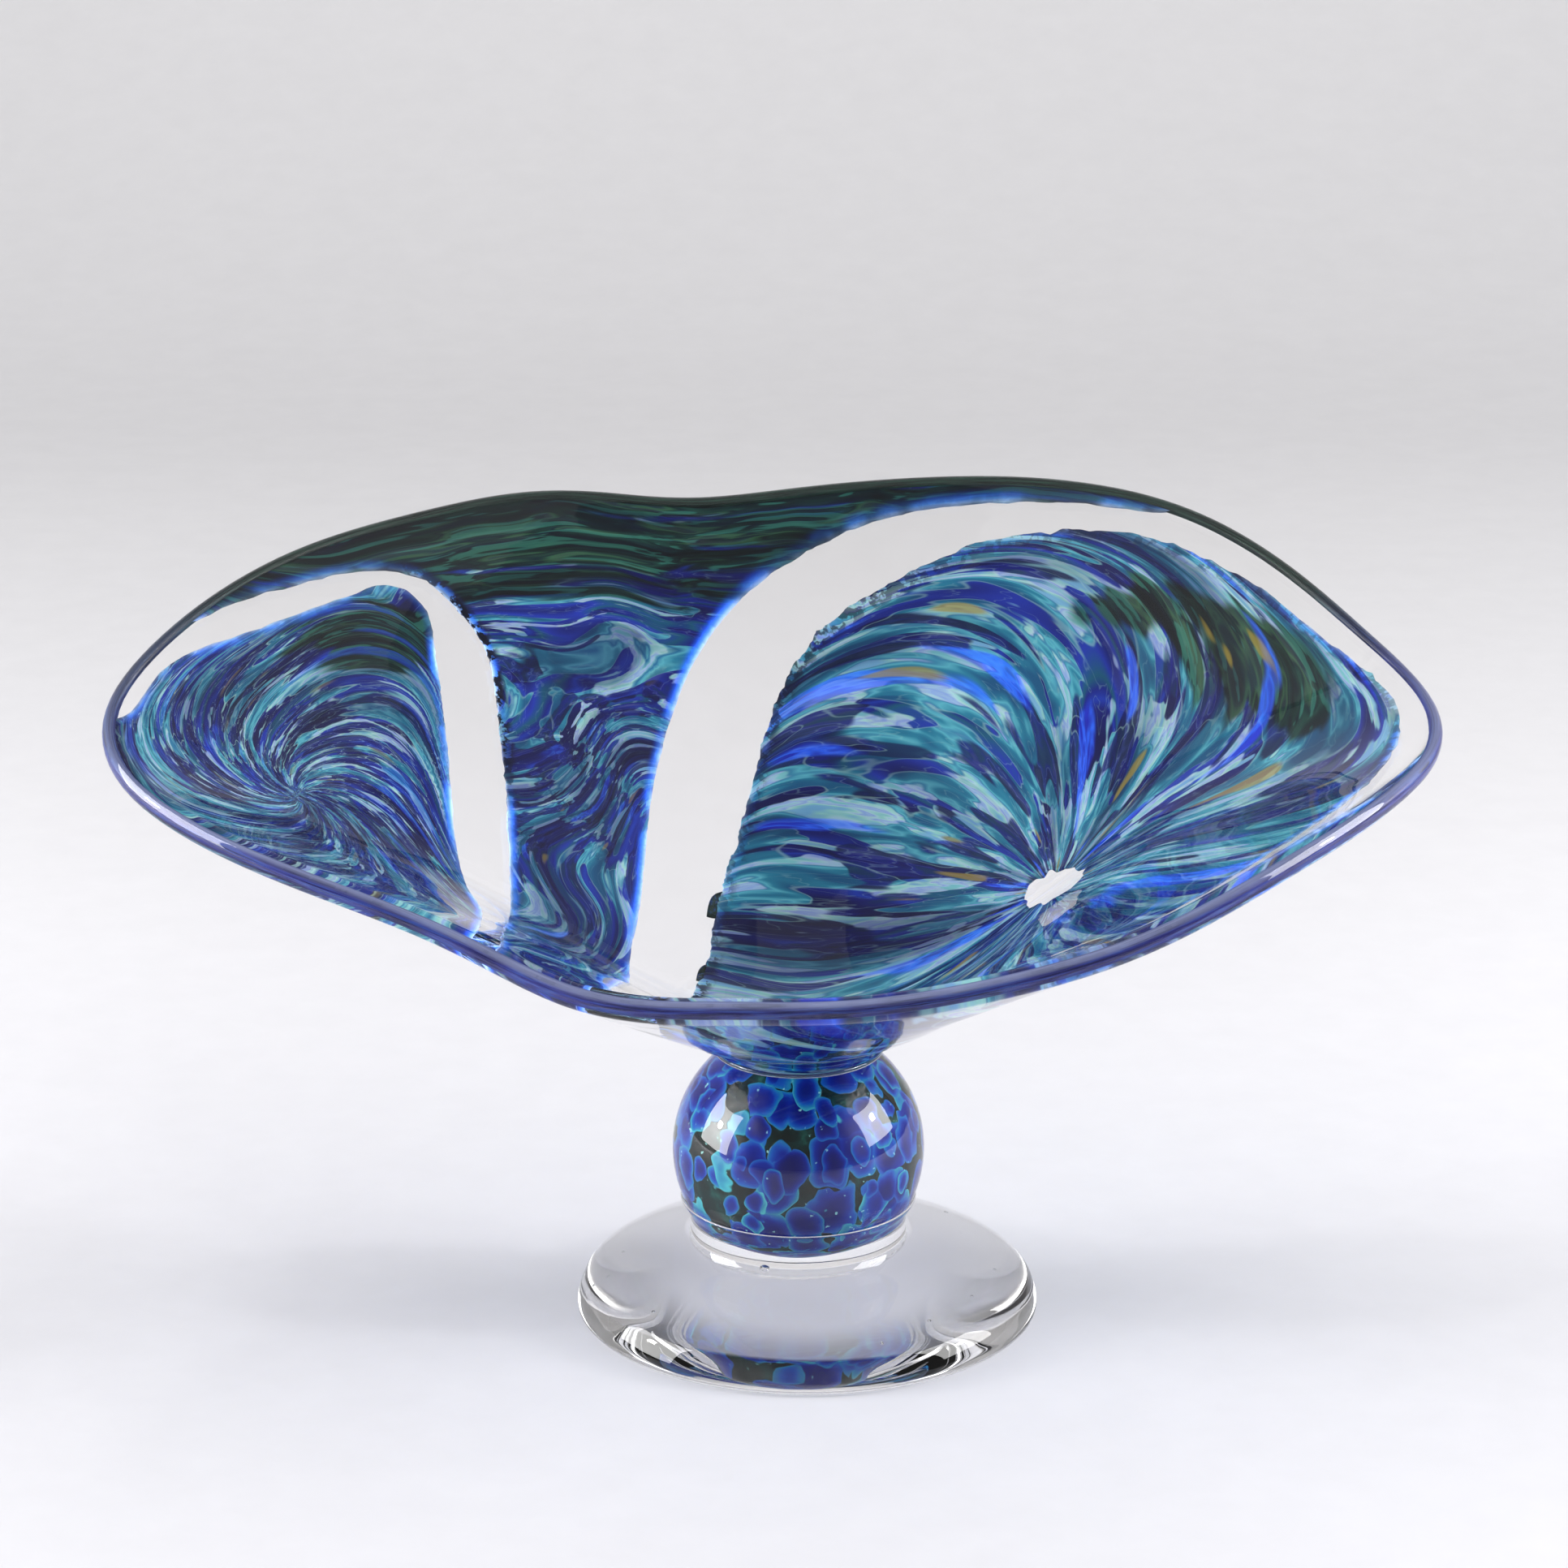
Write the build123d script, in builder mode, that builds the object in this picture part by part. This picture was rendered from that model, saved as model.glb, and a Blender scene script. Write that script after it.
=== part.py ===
# Free-form footed bowl in hot-worked art glass: a leaf-shaped bowl with a
# streaked colour layer cased in clear glass, two clear bands, an undulating
# fire-polished lip, a colour-chip knop and a domed clear foot.
# Millimetres, +Z up, origin on the floor under the centre of the foot.
# The bowl is longest along X, its lip is highest towards +Y; left is -X.
# Bowl, pad and knop are built about their own axis on Z and moved on export.
import math
import os

from build123d import *

os.makedirs("parts", exist_ok=True)

# ---------------------------------------------------------------- dimensions
AXIS_X = -2.3            # bowl and knop stand this far off the foot's centre

FOOT_BASE_R = 57.6       # flat ground base
FOOT_MAX_R = 58.8        # widest radius of the rounded foot edge
FOOT_TOP_Z = 30.4        # rounded top of the neck, where the ball sinks in
FOOT_LIP = 0.3           # neck top stands this far outside the ball
FOOT_SECTIONS = 45       # circles lofted into the foot
LEAN_START_Z = 6         # the foot starts to lean towards the knop's axis here
LEAN_HEIGHT = 13         # and reaches that axis this much higher

KNOP_R = 32.0            # ball knop
KNOP_Z = 43.0            # centre of the ball
KNOP_FLAT_Z = 13.0       # flattened bottom of the ball, inside the foot
KNOP_TOP_Z = 69.4        # flattened top of the ball
CHIP_R = 25.5            # outside of the colour-chip layer
CORE_R = 23.6            # dark core
CLIP_WIDTH = 80          # box that flattens the ball, wider than the ball

BOWL_Z = 74.5            # middle of the glass at the bottom of the bowl
PAD_R = 18.0             # flat disc at the bottom of the bowl
PAD_EDGE_R = 21.6        # rounded edge of the clear pad
PAD_BULGE = 0.9          # how far that edge bulges out
PAD_SINK = 3.5           # underside of the bowl below BOWL_Z at the centre
PAD_TOP_Z = BOWL_Z - PAD_SINK
WALL = 3.2               # half of the wall, and radius of the lip
COLOUR_TOP = 0.8         # colour layer, measured from the middle of the wall
COLOUR_BOTTOM = -0.4

# Shape of the wall. Reaches are fractions of the way from centre to lip.
MEAN_R = 105.0           # radius scale near the centre, where the bowl is round
ROUND_REACH = 0.35       # how quickly the round centre takes on the lip's outline
CONE = 0.45              # roundness of the bottom of the bowl
FLARE_RIGHT = 0.8        # share of domed profile at the +X end
FLARE_LEFT = 0.6         # and at the -X end
FLARE_START = 0.2        # where the domed profile starts to blend in
FLARE_SPAN = 0.45        # length of that blend
DOME_POWER = 1.5         # fullness of the domed profile
SINK_REACH = 0.5         # where the thicker underside has faded out
SLOPE_STEP = 0.004       # step for finding the slope of the wall

# Centre line of the lip, every 7.5 degrees anticlockwise from +X.
RIM_R = [155.9, 152.6, 146.8, 141.3, 135.8, 129.9, 123.8, 118.0, 113.1, 108.9,
         104.9, 101.1, 98.2, 96.5, 96.7, 99.3, 104.1, 109.3, 114.8, 121.4,
         129.6, 139.1, 149.9, 161.2, 168.8, 165.4, 153.3, 139.3, 126.2, 115.4,
         108.6, 105.6, 104.9, 105.0, 105.0, 105.0, 105.8, 107.6, 109.9, 112.5,
         115.8, 120.2, 125.6, 131.1, 136.6, 142.2, 148.1, 153.9]
RIM_Z = [156.5, 160.9, 166.4, 173.1, 179.8, 185.2, 188.4, 189.7, 189.8, 189.2,
         188.4, 187.6, 186.7, 185.8, 185.3, 186.0, 187.7, 188.9, 188.6, 187.1,
         185.1, 182.0, 176.3, 167.7, 157.8, 149.1, 142.6, 137.7, 133.3, 128.7,
         124.0, 119.9, 117.3, 116.7, 117.3, 118.2, 118.8, 119.8, 121.5, 123.7,
         126.2, 129.5, 134.2, 139.5, 144.1, 147.3, 150.0, 152.9]
STATIONS = len(RIM_R)
# Lofted rings outside the flat disc, as fractions from centre (0) to lip (1).
RINGS = [0.235, 0.30, 0.37, 0.44, 0.51, 0.58, 0.65, 0.72, 0.79, 0.85, 0.90,
         0.945, 0.98, 1.0]
LIP_TURNS = (30, 60, 90, 120, 150)    # degrees round the lip, from the inside

# Edges of the clear bands seen from above, (x, y) from the bowl's axis; they
# run past the lip. Each inner edge faces the panel that its band surrounds,
# each outer edge faces the middle panel.
LEFT_BAND_OUTER = [(-176, 12), (-165, 20.5), (-154, 28.8), (-144.8, 36.4),
                   (-135, 42.8), (-125, 48.9), (-115.6, 54.4),
                   (-106.7, 58.4), (-98.3, 60.1), (-91, 58.5),
                   (-85.3, 55.4), (-81.3, 51.8), (-78, 42.3), (-75.3, 26.7),
                   (-73.5, 11), (-73.1, -1), (-73, -18), (-72.4, -42),
                   (-71, -92)]
LEFT_BAND_INNER = [(-77.5, -92), (-78.1, -42.4), (-80.4, -19.3),
                   (-83.9, -7.7), (-87.3, 7.6), (-89.4, 24), (-91.7, 36.1),
                   (-93.8, 46.3), (-96.2, 53.2), (-102.8, 55.8),
                   (-112.4, 51.0), (-125.7, 41.2), (-142.3, 29.4),
                   (-160.7, 13.0), (-167, -1.5), (-184, -12)]
RIGHT_BAND_OUTER = [(-50, -110), (-46.5, -60), (-44, -30), (-43.4, -15.4),
                    (-43.5, 3.4), (-41.3, 18.6), (-38.9, 39.9), (-34.7, 55.6),
                    (-29.1, 67), (-20.9, 76.7), (-8.5, 85.5), (7.3, 92.7),
                    (23.8, 97.0), (44.5, 97.0), (62.7, 93.6), (76.5, 89.6),
                    (90, 84.6), (106, 80.5)]
RIGHT_BAND_INNER = [(39.2, -107.6), (57.2, -99), (75.5, -90),
                    (94.8, -79.6), (113.1, -65.3), (129.4, -47.1),
                    (142.6, -25.2), (148.4, -9), (149.6, 3),
                    (147.4, 14.5), (141.1, 27.4), (130, 43.5),
                    (119, 57.4), (106.9, 67.5), (95.3, 75.8), (78.9, 83.2),
                    (60.4, 87.9), (48, 89.4), (35.4, 88.9), (25.1, 87.0),
                    (11.3, 82.4), (1, 75.8), (-7.2, 65.3), (-13.3, 50.4),
                    (-16.7, 41.3), (-21.4, 29.2), (-23.7, 15.1), (-26.5, 5),
                    (-29.3, -6.2), (-30, -30), (-31, -60), (-33, -112)]
# Corners off the bowl that close the right band's outline.
RIGHT_BAND_CORNERS = [(180, 60), (180, -80), (110, -135), (50, -135)]

# Elliptical window in the colour layer, seen from above.
WINDOW_AT = (65.4, 2.9, 0)
WINDOW_HALF_LENGTH = 10.1
WINDOW_HALF_WIDTH = 4.6
WINDOW_TURN = -47.0

# Metal flakes, (x, y) outlines seen from above.
FLAKES = [
    [(-24.2, 26.4), (-21.6, 27.2), (-19.6, 30.2), (-18.9, 33.4), (-21.0, 32.6),
     (-22.9, 30.9)],
    [(-27.6, 8.2), (-25.2, 8.9), (-22.9, 12.2), (-22.4, 15.6), (-24.6, 14.6),
     (-26.6, 12.0)],
    [(-31.2, -6.4), (-28.2, -5.6), (-25.8, -2.4), (-26.6, 1.0), (-29.4, -0.6),
     (-31.4, -3.0)],
]
CUT_PLANE = Plane.XY.offset(60)       # cutting prisms are drawn here
CUT_HEIGHT = 150


# ------------------------------------------------------------- bowl geometry
def smoothstep(x):
    """Smooth ramp from 0 at x = 0 to 1 at x = 1."""
    x = min(1.0, max(0.0, x))
    return x * x * (3 - 2 * x)


def wall_point(i, rho):
    """Point on the middle of the wall: station i, rho 0 centre to 1 lip."""
    angle = 2 * math.pi * (i % STATIONS) / STATIONS
    rim_r, rim_z = RIM_R[i % STATIONS], RIM_Z[i % STATIONS]
    weight = ((1 - math.exp(-(rho / ROUND_REACH) ** 2))
              / (1 - math.exp(-(1 / ROUND_REACH) ** 2)))
    radius = rho * (MEAN_R + (rim_r - MEAN_R) * weight)

    # The height blends from a rounded cone to a dome towards the two X ends.
    side = math.cos(angle)
    flare = FLARE_RIGHT if side > 0 else FLARE_LEFT
    flare *= side * side * smoothstep((rho - FLARE_START) / FLARE_SPAN)
    cone = (math.hypot(rho, CONE) - CONE) / (math.hypot(1, CONE) - CONE)
    dome = 1 - max(0.0, 1 - rho) ** DOME_POWER
    z = BOWL_Z + (rim_z - BOWL_Z) * ((1 - flare) * cone + flare * dome)
    return Vector(radius * math.cos(angle), radius * math.sin(angle), z)


def wall_frame(i, rho):
    """Unit normal into the bowl and unit tangent towards the lip."""
    ahead = 0 if rho > 0.99 else SLOPE_STEP
    tangent = wall_point(i, rho + ahead) - wall_point(i, rho - SLOPE_STEP)
    around = wall_point(i + 1, rho) - wall_point(i - 1, rho)
    return tangent.cross(around).normalized(), tangent.normalized()


def closed_wire(points):
    return Wire([Edge.make_spline(points, periodic=True)])


def surface_rings(offset, sink=0):
    """Rings of a surface offset from the middle of the wall, centre to lip.

    The surface lies lower by sink at the centre."""
    angles = [2 * math.pi * i / STATIONS for i in range(STATIONS)]
    rings = [closed_wire([Vector(PAD_R * math.cos(a), PAD_R * math.sin(a),
                                 BOWL_Z + offset - sink) for a in angles])]
    for rho in RINGS:
        distance = offset - sink * (1 - smoothstep(rho / SINK_REACH))
        rings.append(closed_wire([wall_point(i, rho) + wall_frame(i, rho)[0] * distance
                                  for i in range(STATIONS)]))
    return rings


def lip_ring(turn):
    """Ring on the half-round lip: 0 at the inside, 180 at the outside."""
    angle = math.radians(turn)
    points = []
    for i in range(STATIONS):
        normal, tangent = wall_frame(i, 1.0)
        points.append(wall_point(i, 1.0) + normal * (WALL * math.cos(angle))
                      + tangent * (WALL * math.sin(angle)))
    return closed_wire(points)


def ruled_loft(rings):
    with BuildPart() as shell:
        add(Solid.make_loft(rings, True))
    return shell.part


inside = surface_rings(WALL)
colour_top = surface_rings(COLOUR_TOP)
colour_bottom = surface_rings(COLOUR_BOTTOM)
underside = surface_rings(-WALL, sink=PAD_SINK - WALL)
lip = [lip_ring(turn) for turn in LIP_TURNS]

# The outer casing wraps over the lip and meets the inner casing there.
inner_casing = ruled_loft(inside + colour_top[::-1])
outer_casing = ruled_loft(colour_bottom + [colour_top[-1], inside[-1]] + lip
                          + underside[::-1])
colour = ruled_loft(colour_top + colour_bottom[::-1])


# ----------------------------------------- prisms that cut the colour layer
def band_prism(first, second, corners=()):
    """Prism between two drawn edges, closed by straight runs off the bowl."""
    first_edge = Edge.make_spline([Vector(x, y, 0) for x, y in first])
    second_edge = Edge.make_spline([Vector(x, y, 0) for x, y in second])
    link = Edge.make_line(first_edge @ 1, second_edge @ 0)
    points = [second_edge @ 1] + [Vector(x, y, 0) for x, y in corners] + [first_edge @ 0]
    runs = [Edge.make_line(p, q) for p, q in zip(points[:-1], points[1:])]
    with BuildPart() as prism:
        with BuildSketch(CUT_PLANE):
            add(Face(Wire([first_edge, link, second_edge] + runs)))
        extrude(amount=CUT_HEIGHT)
    return prism.part


def make_window_prism():
    with BuildPart() as prism:
        with BuildSketch(CUT_PLANE):
            with Locations(Location(WINDOW_AT, (0, 0, WINDOW_TURN))):
                Ellipse(WINDOW_HALF_LENGTH, WINDOW_HALF_WIDTH)
        extrude(amount=CUT_HEIGHT)
    return prism.part


def make_flake_prisms():
    with BuildPart() as prisms:
        with BuildSketch(CUT_PLANE):
            for flake in FLAKES:
                with BuildLine():
                    Polyline(*flake, close=True)
                make_face()
        extrude(amount=CUT_HEIGHT)
    return prisms.part


left_prism = band_prism(LEFT_BAND_OUTER, LEFT_BAND_INNER)
right_prism = band_prism(RIGHT_BAND_INNER, RIGHT_BAND_OUTER, RIGHT_BAND_CORNERS)
window_prism = make_window_prism()
flake_prisms = make_flake_prisms()


# ------------------------------------------------ pieces of the colour layer
def colour_piece(keep=None, remove=()):
    """Colour layer within one prism, or all of it, less the removed prisms."""
    with BuildPart() as piece:
        add(colour)
        if keep is not None:
            add(keep, mode=Mode.INTERSECT)
        for prism in remove:
            add(prism, mode=Mode.SUBTRACT)
    return piece.part


def single_part(solid):
    with BuildPart() as piece:
        add(solid)
    return piece.part


flakes = colour_piece(keep=flake_prisms)
clear_band_left = colour_piece(keep=left_prism)
clear_band_right = colour_piece(keep=right_prism, remove=[flake_prisms])
window = colour_piece(keep=window_prism)
panels = colour_piece(remove=[left_prism, right_prism, window_prism, flake_prisms])

# The three largest remaining solids are the panels, taken from left to right.
largest = sorted(panels.solids(), key=lambda s: -s.volume)[:3]
panel_left, panel_middle, panel_right = [
    single_part(s) for s in sorted(largest, key=lambda s: s.center().X)]


# -------------------------------------------------------------- pad and knop
def ball_radius_at(z):
    """Radius of the ball's horizontal section at height z."""
    return math.sqrt(KNOP_R ** 2 - (z - KNOP_Z) ** 2)


def make_pad():
    """Clear disc between the flattened top of the knop and the bowl."""
    flat_r = PAD_EDGE_R - PAD_BULGE
    middle_z = (PAD_TOP_Z + KNOP_TOP_Z) / 2
    with BuildPart() as pad:
        with BuildSketch(Plane.XZ):
            with BuildLine():
                Polyline((PAD_R, PAD_TOP_Z), (0, PAD_TOP_Z), (0, KNOP_TOP_Z),
                         (ball_radius_at(KNOP_TOP_Z), KNOP_TOP_Z), (flat_r, KNOP_TOP_Z))
                Spline((flat_r, KNOP_TOP_Z), (PAD_EDGE_R, middle_z), (flat_r, PAD_TOP_Z),
                       tangents=[(1, 0), (-1, 0)])
                Line((flat_r, PAD_TOP_Z), (PAD_R, PAD_TOP_Z))
            make_face()
        revolve(axis=Axis.Z)
    return pad.part


def make_knop_core():
    with BuildPart() as core:
        with Locations((0, 0, KNOP_Z)):
            Sphere(CORE_R)
    return core.part


def make_knop_chips():
    with BuildPart() as chips:
        with Locations((0, 0, KNOP_Z)):
            Sphere(CHIP_R)
            Sphere(CORE_R, mode=Mode.SUBTRACT)
    return chips.part


def make_knop_casing():
    """Clear ball, flattened top and bottom, hollow for the chip layer."""
    with BuildPart() as casing:
        with Locations((0, 0, KNOP_Z)):
            Sphere(KNOP_R)
        with Locations((0, 0, (KNOP_FLAT_Z + KNOP_TOP_Z) / 2)):
            Box(CLIP_WIDTH, CLIP_WIDTH, KNOP_TOP_Z - KNOP_FLAT_Z, mode=Mode.INTERSECT)
        with Locations((0, 0, KNOP_Z)):
            Sphere(CHIP_R, mode=Mode.SUBTRACT)
    return casing.part


# ---------------------------------------------------------------------- foot
# (radius, height) up the outside of the foot.
FOOT_PROFILE = [(FOOT_BASE_R, 0), (58.7, 1.0), (FOOT_MAX_R, 2.2), (58.3, 4.4),
                (57.4, 6.6), (56.2, 8.4), (54.3, 10.0), (51.6, 11.4),
                (47.8, 12.8), (43.0, 14.2), (38.0, 15.5), (34.0, 16.5),
                (31.0, 17.6), (28.8, 19.0), (27.6, 21.0), (27.5, 23.6),
                (28.2, 27.0), (ball_radius_at(FOOT_TOP_Z) + FOOT_LIP, FOOT_TOP_Z)]


def make_foot():
    """Thick disc and short neck, with a seat the ball is sunk into."""
    outside = Edge.make_spline([Vector(r, 0, z) for r, z in FOOT_PROFILE])
    seat_r = ball_radius_at(KNOP_FLAT_Z)
    with BuildPart() as foot:
        for i in range(FOOT_SECTIONS):
            point = outside @ (i / (FOOT_SECTIONS - 1))
            lean = AXIS_X * smoothstep((point.Z - LEAN_START_Z) / LEAN_HEIGHT)
            with BuildSketch(Plane.XY.offset(point.Z)):
                with Locations((lean, 0)):
                    Circle(point.X)
        loft(ruled=True)
        with BuildSketch(Plane.XZ.shift_origin((AXIS_X, 0, 0))):
            with BuildLine():
                Polyline((0, KNOP_Z), (0, KNOP_FLAT_Z), (seat_r, KNOP_FLAT_Z))
                RadiusArc((seat_r, KNOP_FLAT_Z), (KNOP_R, KNOP_Z), -KNOP_R)
                Line((KNOP_R, KNOP_Z), (0, KNOP_Z))
            make_face()
        revolve(axis=Axis((AXIS_X, 0, 0), (0, 0, 1)), mode=Mode.SUBTRACT)
    return foot.part


# -------------------------------------------------------------------- export
def export(part, name):
    part.label = name
    export_step(part, "parts/" + name + ".step")


on_knop_axis = {
    "bowl_inner_casing": inner_casing,
    "color_panel_left": panel_left,
    "color_panel_middle": panel_middle,
    "color_panel_right": panel_right,
    "clear_band_left": clear_band_left,
    "clear_band_right": clear_band_right,
    "swirl_window": window,
    "metal_flakes": flakes,
    "bowl_outer_casing": outer_casing,
    "bowl_pad": make_pad(),
    "knop_core": make_knop_core(),
    "knop_chip_layer": make_knop_chips(),
    "knop_casing": make_knop_casing(),
}
for name, part in on_knop_axis.items():
    export(part.moved(Location((AXIS_X, 0, 0))), name)
export(make_foot(), "foot_disc")
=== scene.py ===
# Glass bowl on a ball-shaped knop and a round foot. Z is up and the foot rests on
# z = 0, centred on the origin; +X is right, and the camera looks from -Y (the front).
# The wavy bowl is a clear casing round three streaked colour sheets with clear bands
# between them. Lengths are millimetres in this file, and metres in the shaders, the
# lights and the camera.
import bpy
import math
import numpy as np
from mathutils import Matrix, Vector

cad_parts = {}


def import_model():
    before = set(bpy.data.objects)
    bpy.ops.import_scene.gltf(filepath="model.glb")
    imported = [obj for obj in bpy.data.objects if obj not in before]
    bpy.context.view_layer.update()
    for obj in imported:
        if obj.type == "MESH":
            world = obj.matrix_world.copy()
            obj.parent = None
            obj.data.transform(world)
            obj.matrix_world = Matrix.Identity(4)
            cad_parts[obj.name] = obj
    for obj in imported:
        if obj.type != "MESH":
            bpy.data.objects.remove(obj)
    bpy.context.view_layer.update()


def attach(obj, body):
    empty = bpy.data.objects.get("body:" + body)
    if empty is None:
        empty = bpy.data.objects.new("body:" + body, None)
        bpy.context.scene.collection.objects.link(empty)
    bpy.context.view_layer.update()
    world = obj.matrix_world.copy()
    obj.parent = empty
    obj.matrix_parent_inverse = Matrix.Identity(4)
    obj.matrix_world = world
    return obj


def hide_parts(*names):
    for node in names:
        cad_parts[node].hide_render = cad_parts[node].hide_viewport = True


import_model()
MM = 0.001

# --------------------------------------------------------------------------
# Dimensions
# --------------------------------------------------------------------------
# Rim radius and height at equal angles, counter-clockwise from +X
RIM_R = [155.9, 152.6, 146.8, 141.3, 135.8, 129.9, 123.8, 118.0, 113.1, 108.9,
         104.9, 101.1, 98.2, 96.5, 96.7, 99.3, 104.1, 109.3, 114.8, 121.4,
         129.6, 139.1, 149.9, 161.2, 168.8, 165.4, 153.3, 139.3, 126.2, 115.4,
         108.6, 105.6, 104.9, 105.0, 105.0, 105.0, 105.8, 107.6, 109.9, 112.5,
         115.8, 120.2, 125.6, 131.1, 136.6, 142.2, 148.1, 153.9]
RIM_Z = [156.5, 160.9, 166.4, 173.1, 179.8, 185.2, 188.4, 189.7, 189.8, 189.2,
         188.4, 187.6, 186.7, 185.8, 185.3, 186.0, 187.7, 188.9, 188.6, 187.1,
         185.1, 182.0, 176.3, 167.7, 157.8, 149.1, 142.6, 137.7, 133.3, 128.7,
         124.0, 119.9, 117.3, 116.7, 117.3, 118.2, 118.8, 119.8, 121.5, 123.7,
         126.2, 129.5, 134.2, 139.5, 144.1, 147.3, 150.0, 152.9]
AXIS_X = -2.3            # bowl and knop stand this far off the foot's centre

BOWL_Z = 74.5            # middle of the wall at the bowl's centre
WALL = 3.2               # from the middle of the wall to either face
PAD_SINK = 3.5           # the same at the centre of the underside
PAD_R = 18.0             # flat under the bowl
MEAN_R = 105.0           # rim radius the bowl's centre follows
SPREAD = 0.35            # share of the radius over which the rim outline takes over
CONE = 0.45              # rounding of the cone's tip
FLARE_RIGHT, FLARE_LEFT = 0.8, 0.6   # how far each side domes instead of coning
SHEET_IN, SHEET_OUT = 0.8, -0.4      # faces of the colour sheets, from mid-wall

KNOP_R, KNOP_Z = 32.0, 43.0
KNOP_FLAT, KNOP_TOP = 13.0, 69.4     # heights where the ball is cut off
CHIP_R = 25.5            # coloured ball in the knop
FOOT_TOP = 30.4          # top of the collar round the knop

SEG = 288                # columns round the bowl
SHEET_ROWS = 110         # rows of the colour sheets, centre to rim
ROUND = 192              # columns round the turned pieces

# Outlines seen from above, (x, y). The gap between a sheet's edge and the middle
# sheet's edge is a clear band.
MIDDLE_LEFT_EDGE = [
    (-176, 12), (-165, 20.5), (-154, 28.8), (-144.8, 36.4), (-135, 42.8),
    (-125, 48.9), (-115.6, 54.4), (-106.7, 58.4), (-98.3, 60.1), (-91, 58.5),
    (-85.3, 55.4), (-81.3, 51.8), (-78, 42.3), (-75.3, 26.7), (-73.5, 11),
    (-73.1, -1), (-73, -18), (-72.4, -42), (-71, -92)]
LEFT_EDGE = [
    (-77.5, -92), (-78.1, -42.4), (-80.4, -19.3), (-83.9, -7.7), (-87.3, 7.6),
    (-89.4, 24), (-91.7, 36.1), (-93.8, 46.3), (-96.2, 53.2), (-102.8, 55.8),
    (-112.4, 51.0), (-125.7, 41.2), (-142.3, 29.4), (-160.7, 13.0), (-167, -1.5),
    (-184, -12)]
MIDDLE_RIGHT_EDGE = [
    (-50, -110), (-46.5, -60), (-44, -30), (-43.4, -15.4), (-43.5, 3.4),
    (-41.3, 18.6), (-38.9, 39.9), (-34.7, 55.6), (-29.1, 67), (-20.9, 76.7),
    (-8.5, 85.5), (7.3, 92.7), (23.8, 97.0), (44.5, 97.0), (62.7, 93.6),
    (76.5, 89.6), (90, 84.6), (106, 80.5)]
RIGHT_EDGE = [
    (39.2, -107.6), (57.2, -99), (75.5, -90), (94.8, -79.6), (113.1, -65.3),
    (129.4, -47.1), (142.6, -25.2), (148.4, -9), (149.6, 3), (147.4, 14.5),
    (141.1, 27.4), (130, 43.5), (119, 57.4), (106.9, 67.5), (95.3, 75.8),
    (78.9, 83.2), (60.4, 87.9), (48, 89.4), (35.4, 88.9), (25.1, 87.0),
    (11.3, 82.4), (1, 75.8), (-7.2, 65.3), (-13.3, 50.4), (-16.7, 41.3),
    (-21.4, 29.2), (-23.7, 15.1), (-26.5, 5), (-29.3, -6.2), (-30, -30),
    (-31, -60), (-33, -112)]
# Corners beyond the bowl that close each outline
LEFT_CLOSE = [(-195, -12), (-195, -105), (-77.5, -105)]
MIDDLE_LEFT_CLOSE = [(-71, -105), (-195, -105), (-195, 0)]
RIGHT_CLOSE = [(-33, -125), (35, -125)]
MIDDLE_RIGHT_CLOSE = [(190, 60), (190, -125), (-50, -125)]

# Ragged oval window in the right sheet; its centre is the pole of the streaks
WINDOW_AT = (65.4, 2.9)
WINDOW_HALF = (10.1, 4.6)
WINDOW_TURN = math.radians(-47.0)
LEFT_POLE = (-124.4, -4.9)

# Metal flakes, (x, y) outlines
FLAKES = [
    [(-24.2, 26.4), (-21.6, 27.2), (-19.6, 30.2), (-18.9, 33.4), (-21.0, 32.6),
     (-22.9, 30.9)],
    [(-27.6, 8.2), (-25.2, 8.9), (-22.9, 12.2), (-22.4, 15.6), (-24.6, 14.6),
     (-26.6, 12.0)],
    [(-31.2, -6.4), (-28.2, -5.6), (-25.8, -2.4), (-26.6, 1.0), (-29.4, -0.6),
     (-31.4, -3.0)]]

# Underside of the foot, radii of its rings, then the edge and collar, (radius, z)
FOOT_RINGS = (0, 14, 27, 39.5, 50, 56.5, 57.3)
FOOT_SIDE = [
    (57.6, 0), (58.7, 1.0), (58.8, 2.2), (58.3, 4.4), (57.4, 6.6), (56.2, 8.4),
    (54.3, 10.0), (51.6, 11.4), (47.8, 12.8), (43.0, 14.2), (38.0, 15.5),
    (34.0, 16.5), (31.0, 17.6), (28.8, 19.0), (27.6, 21.0), (27.5, 23.6),
    (28.2, 27.0)]
# Air bubbles in the foot: x, y, z, radius
BUBBLES = [
    (-10.4, -23.2, 19.2, 1.3), (30.0, -36.0, 9.0, 0.5), (41.0, -22.0, 9.5, 0.45),
    (-38.0, -30.0, 8.5, 0.5), (18.0, -44.0, 6.0, 0.4), (47.0, -4.0, 8.0, 0.45),
    (-20.0, 38.0, 9.0, 0.5), (-46.0, 6.0, 7.0, 0.4), (36.0, 30.0, 11.0, 0.6)]


# --------------------------------------------------------------------------
# Curves and fields
# --------------------------------------------------------------------------
def periodic_spline(values, at):
    """Periodic cubic spline through equally spaced values; at counts in steps."""
    values = np.asarray(values, float)
    n = len(values)
    matrix = 4 * np.eye(n) + np.roll(np.eye(n), 1, 0) + np.roll(np.eye(n), -1, 0)
    second = 6 * (np.roll(values, -1) - 2 * values + np.roll(values, 1))
    curve = np.linalg.solve(matrix, second)
    at = np.mod(at, n)
    i = np.floor(at).astype(int) % n
    t = at - np.floor(at)
    j = (i + 1) % n
    return (values[i] * (1 - t) + values[j] * t
            + ((t ** 3 - t) * curve[j] + ((1 - t) ** 3 - (1 - t)) * curve[i]) / 6)


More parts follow.
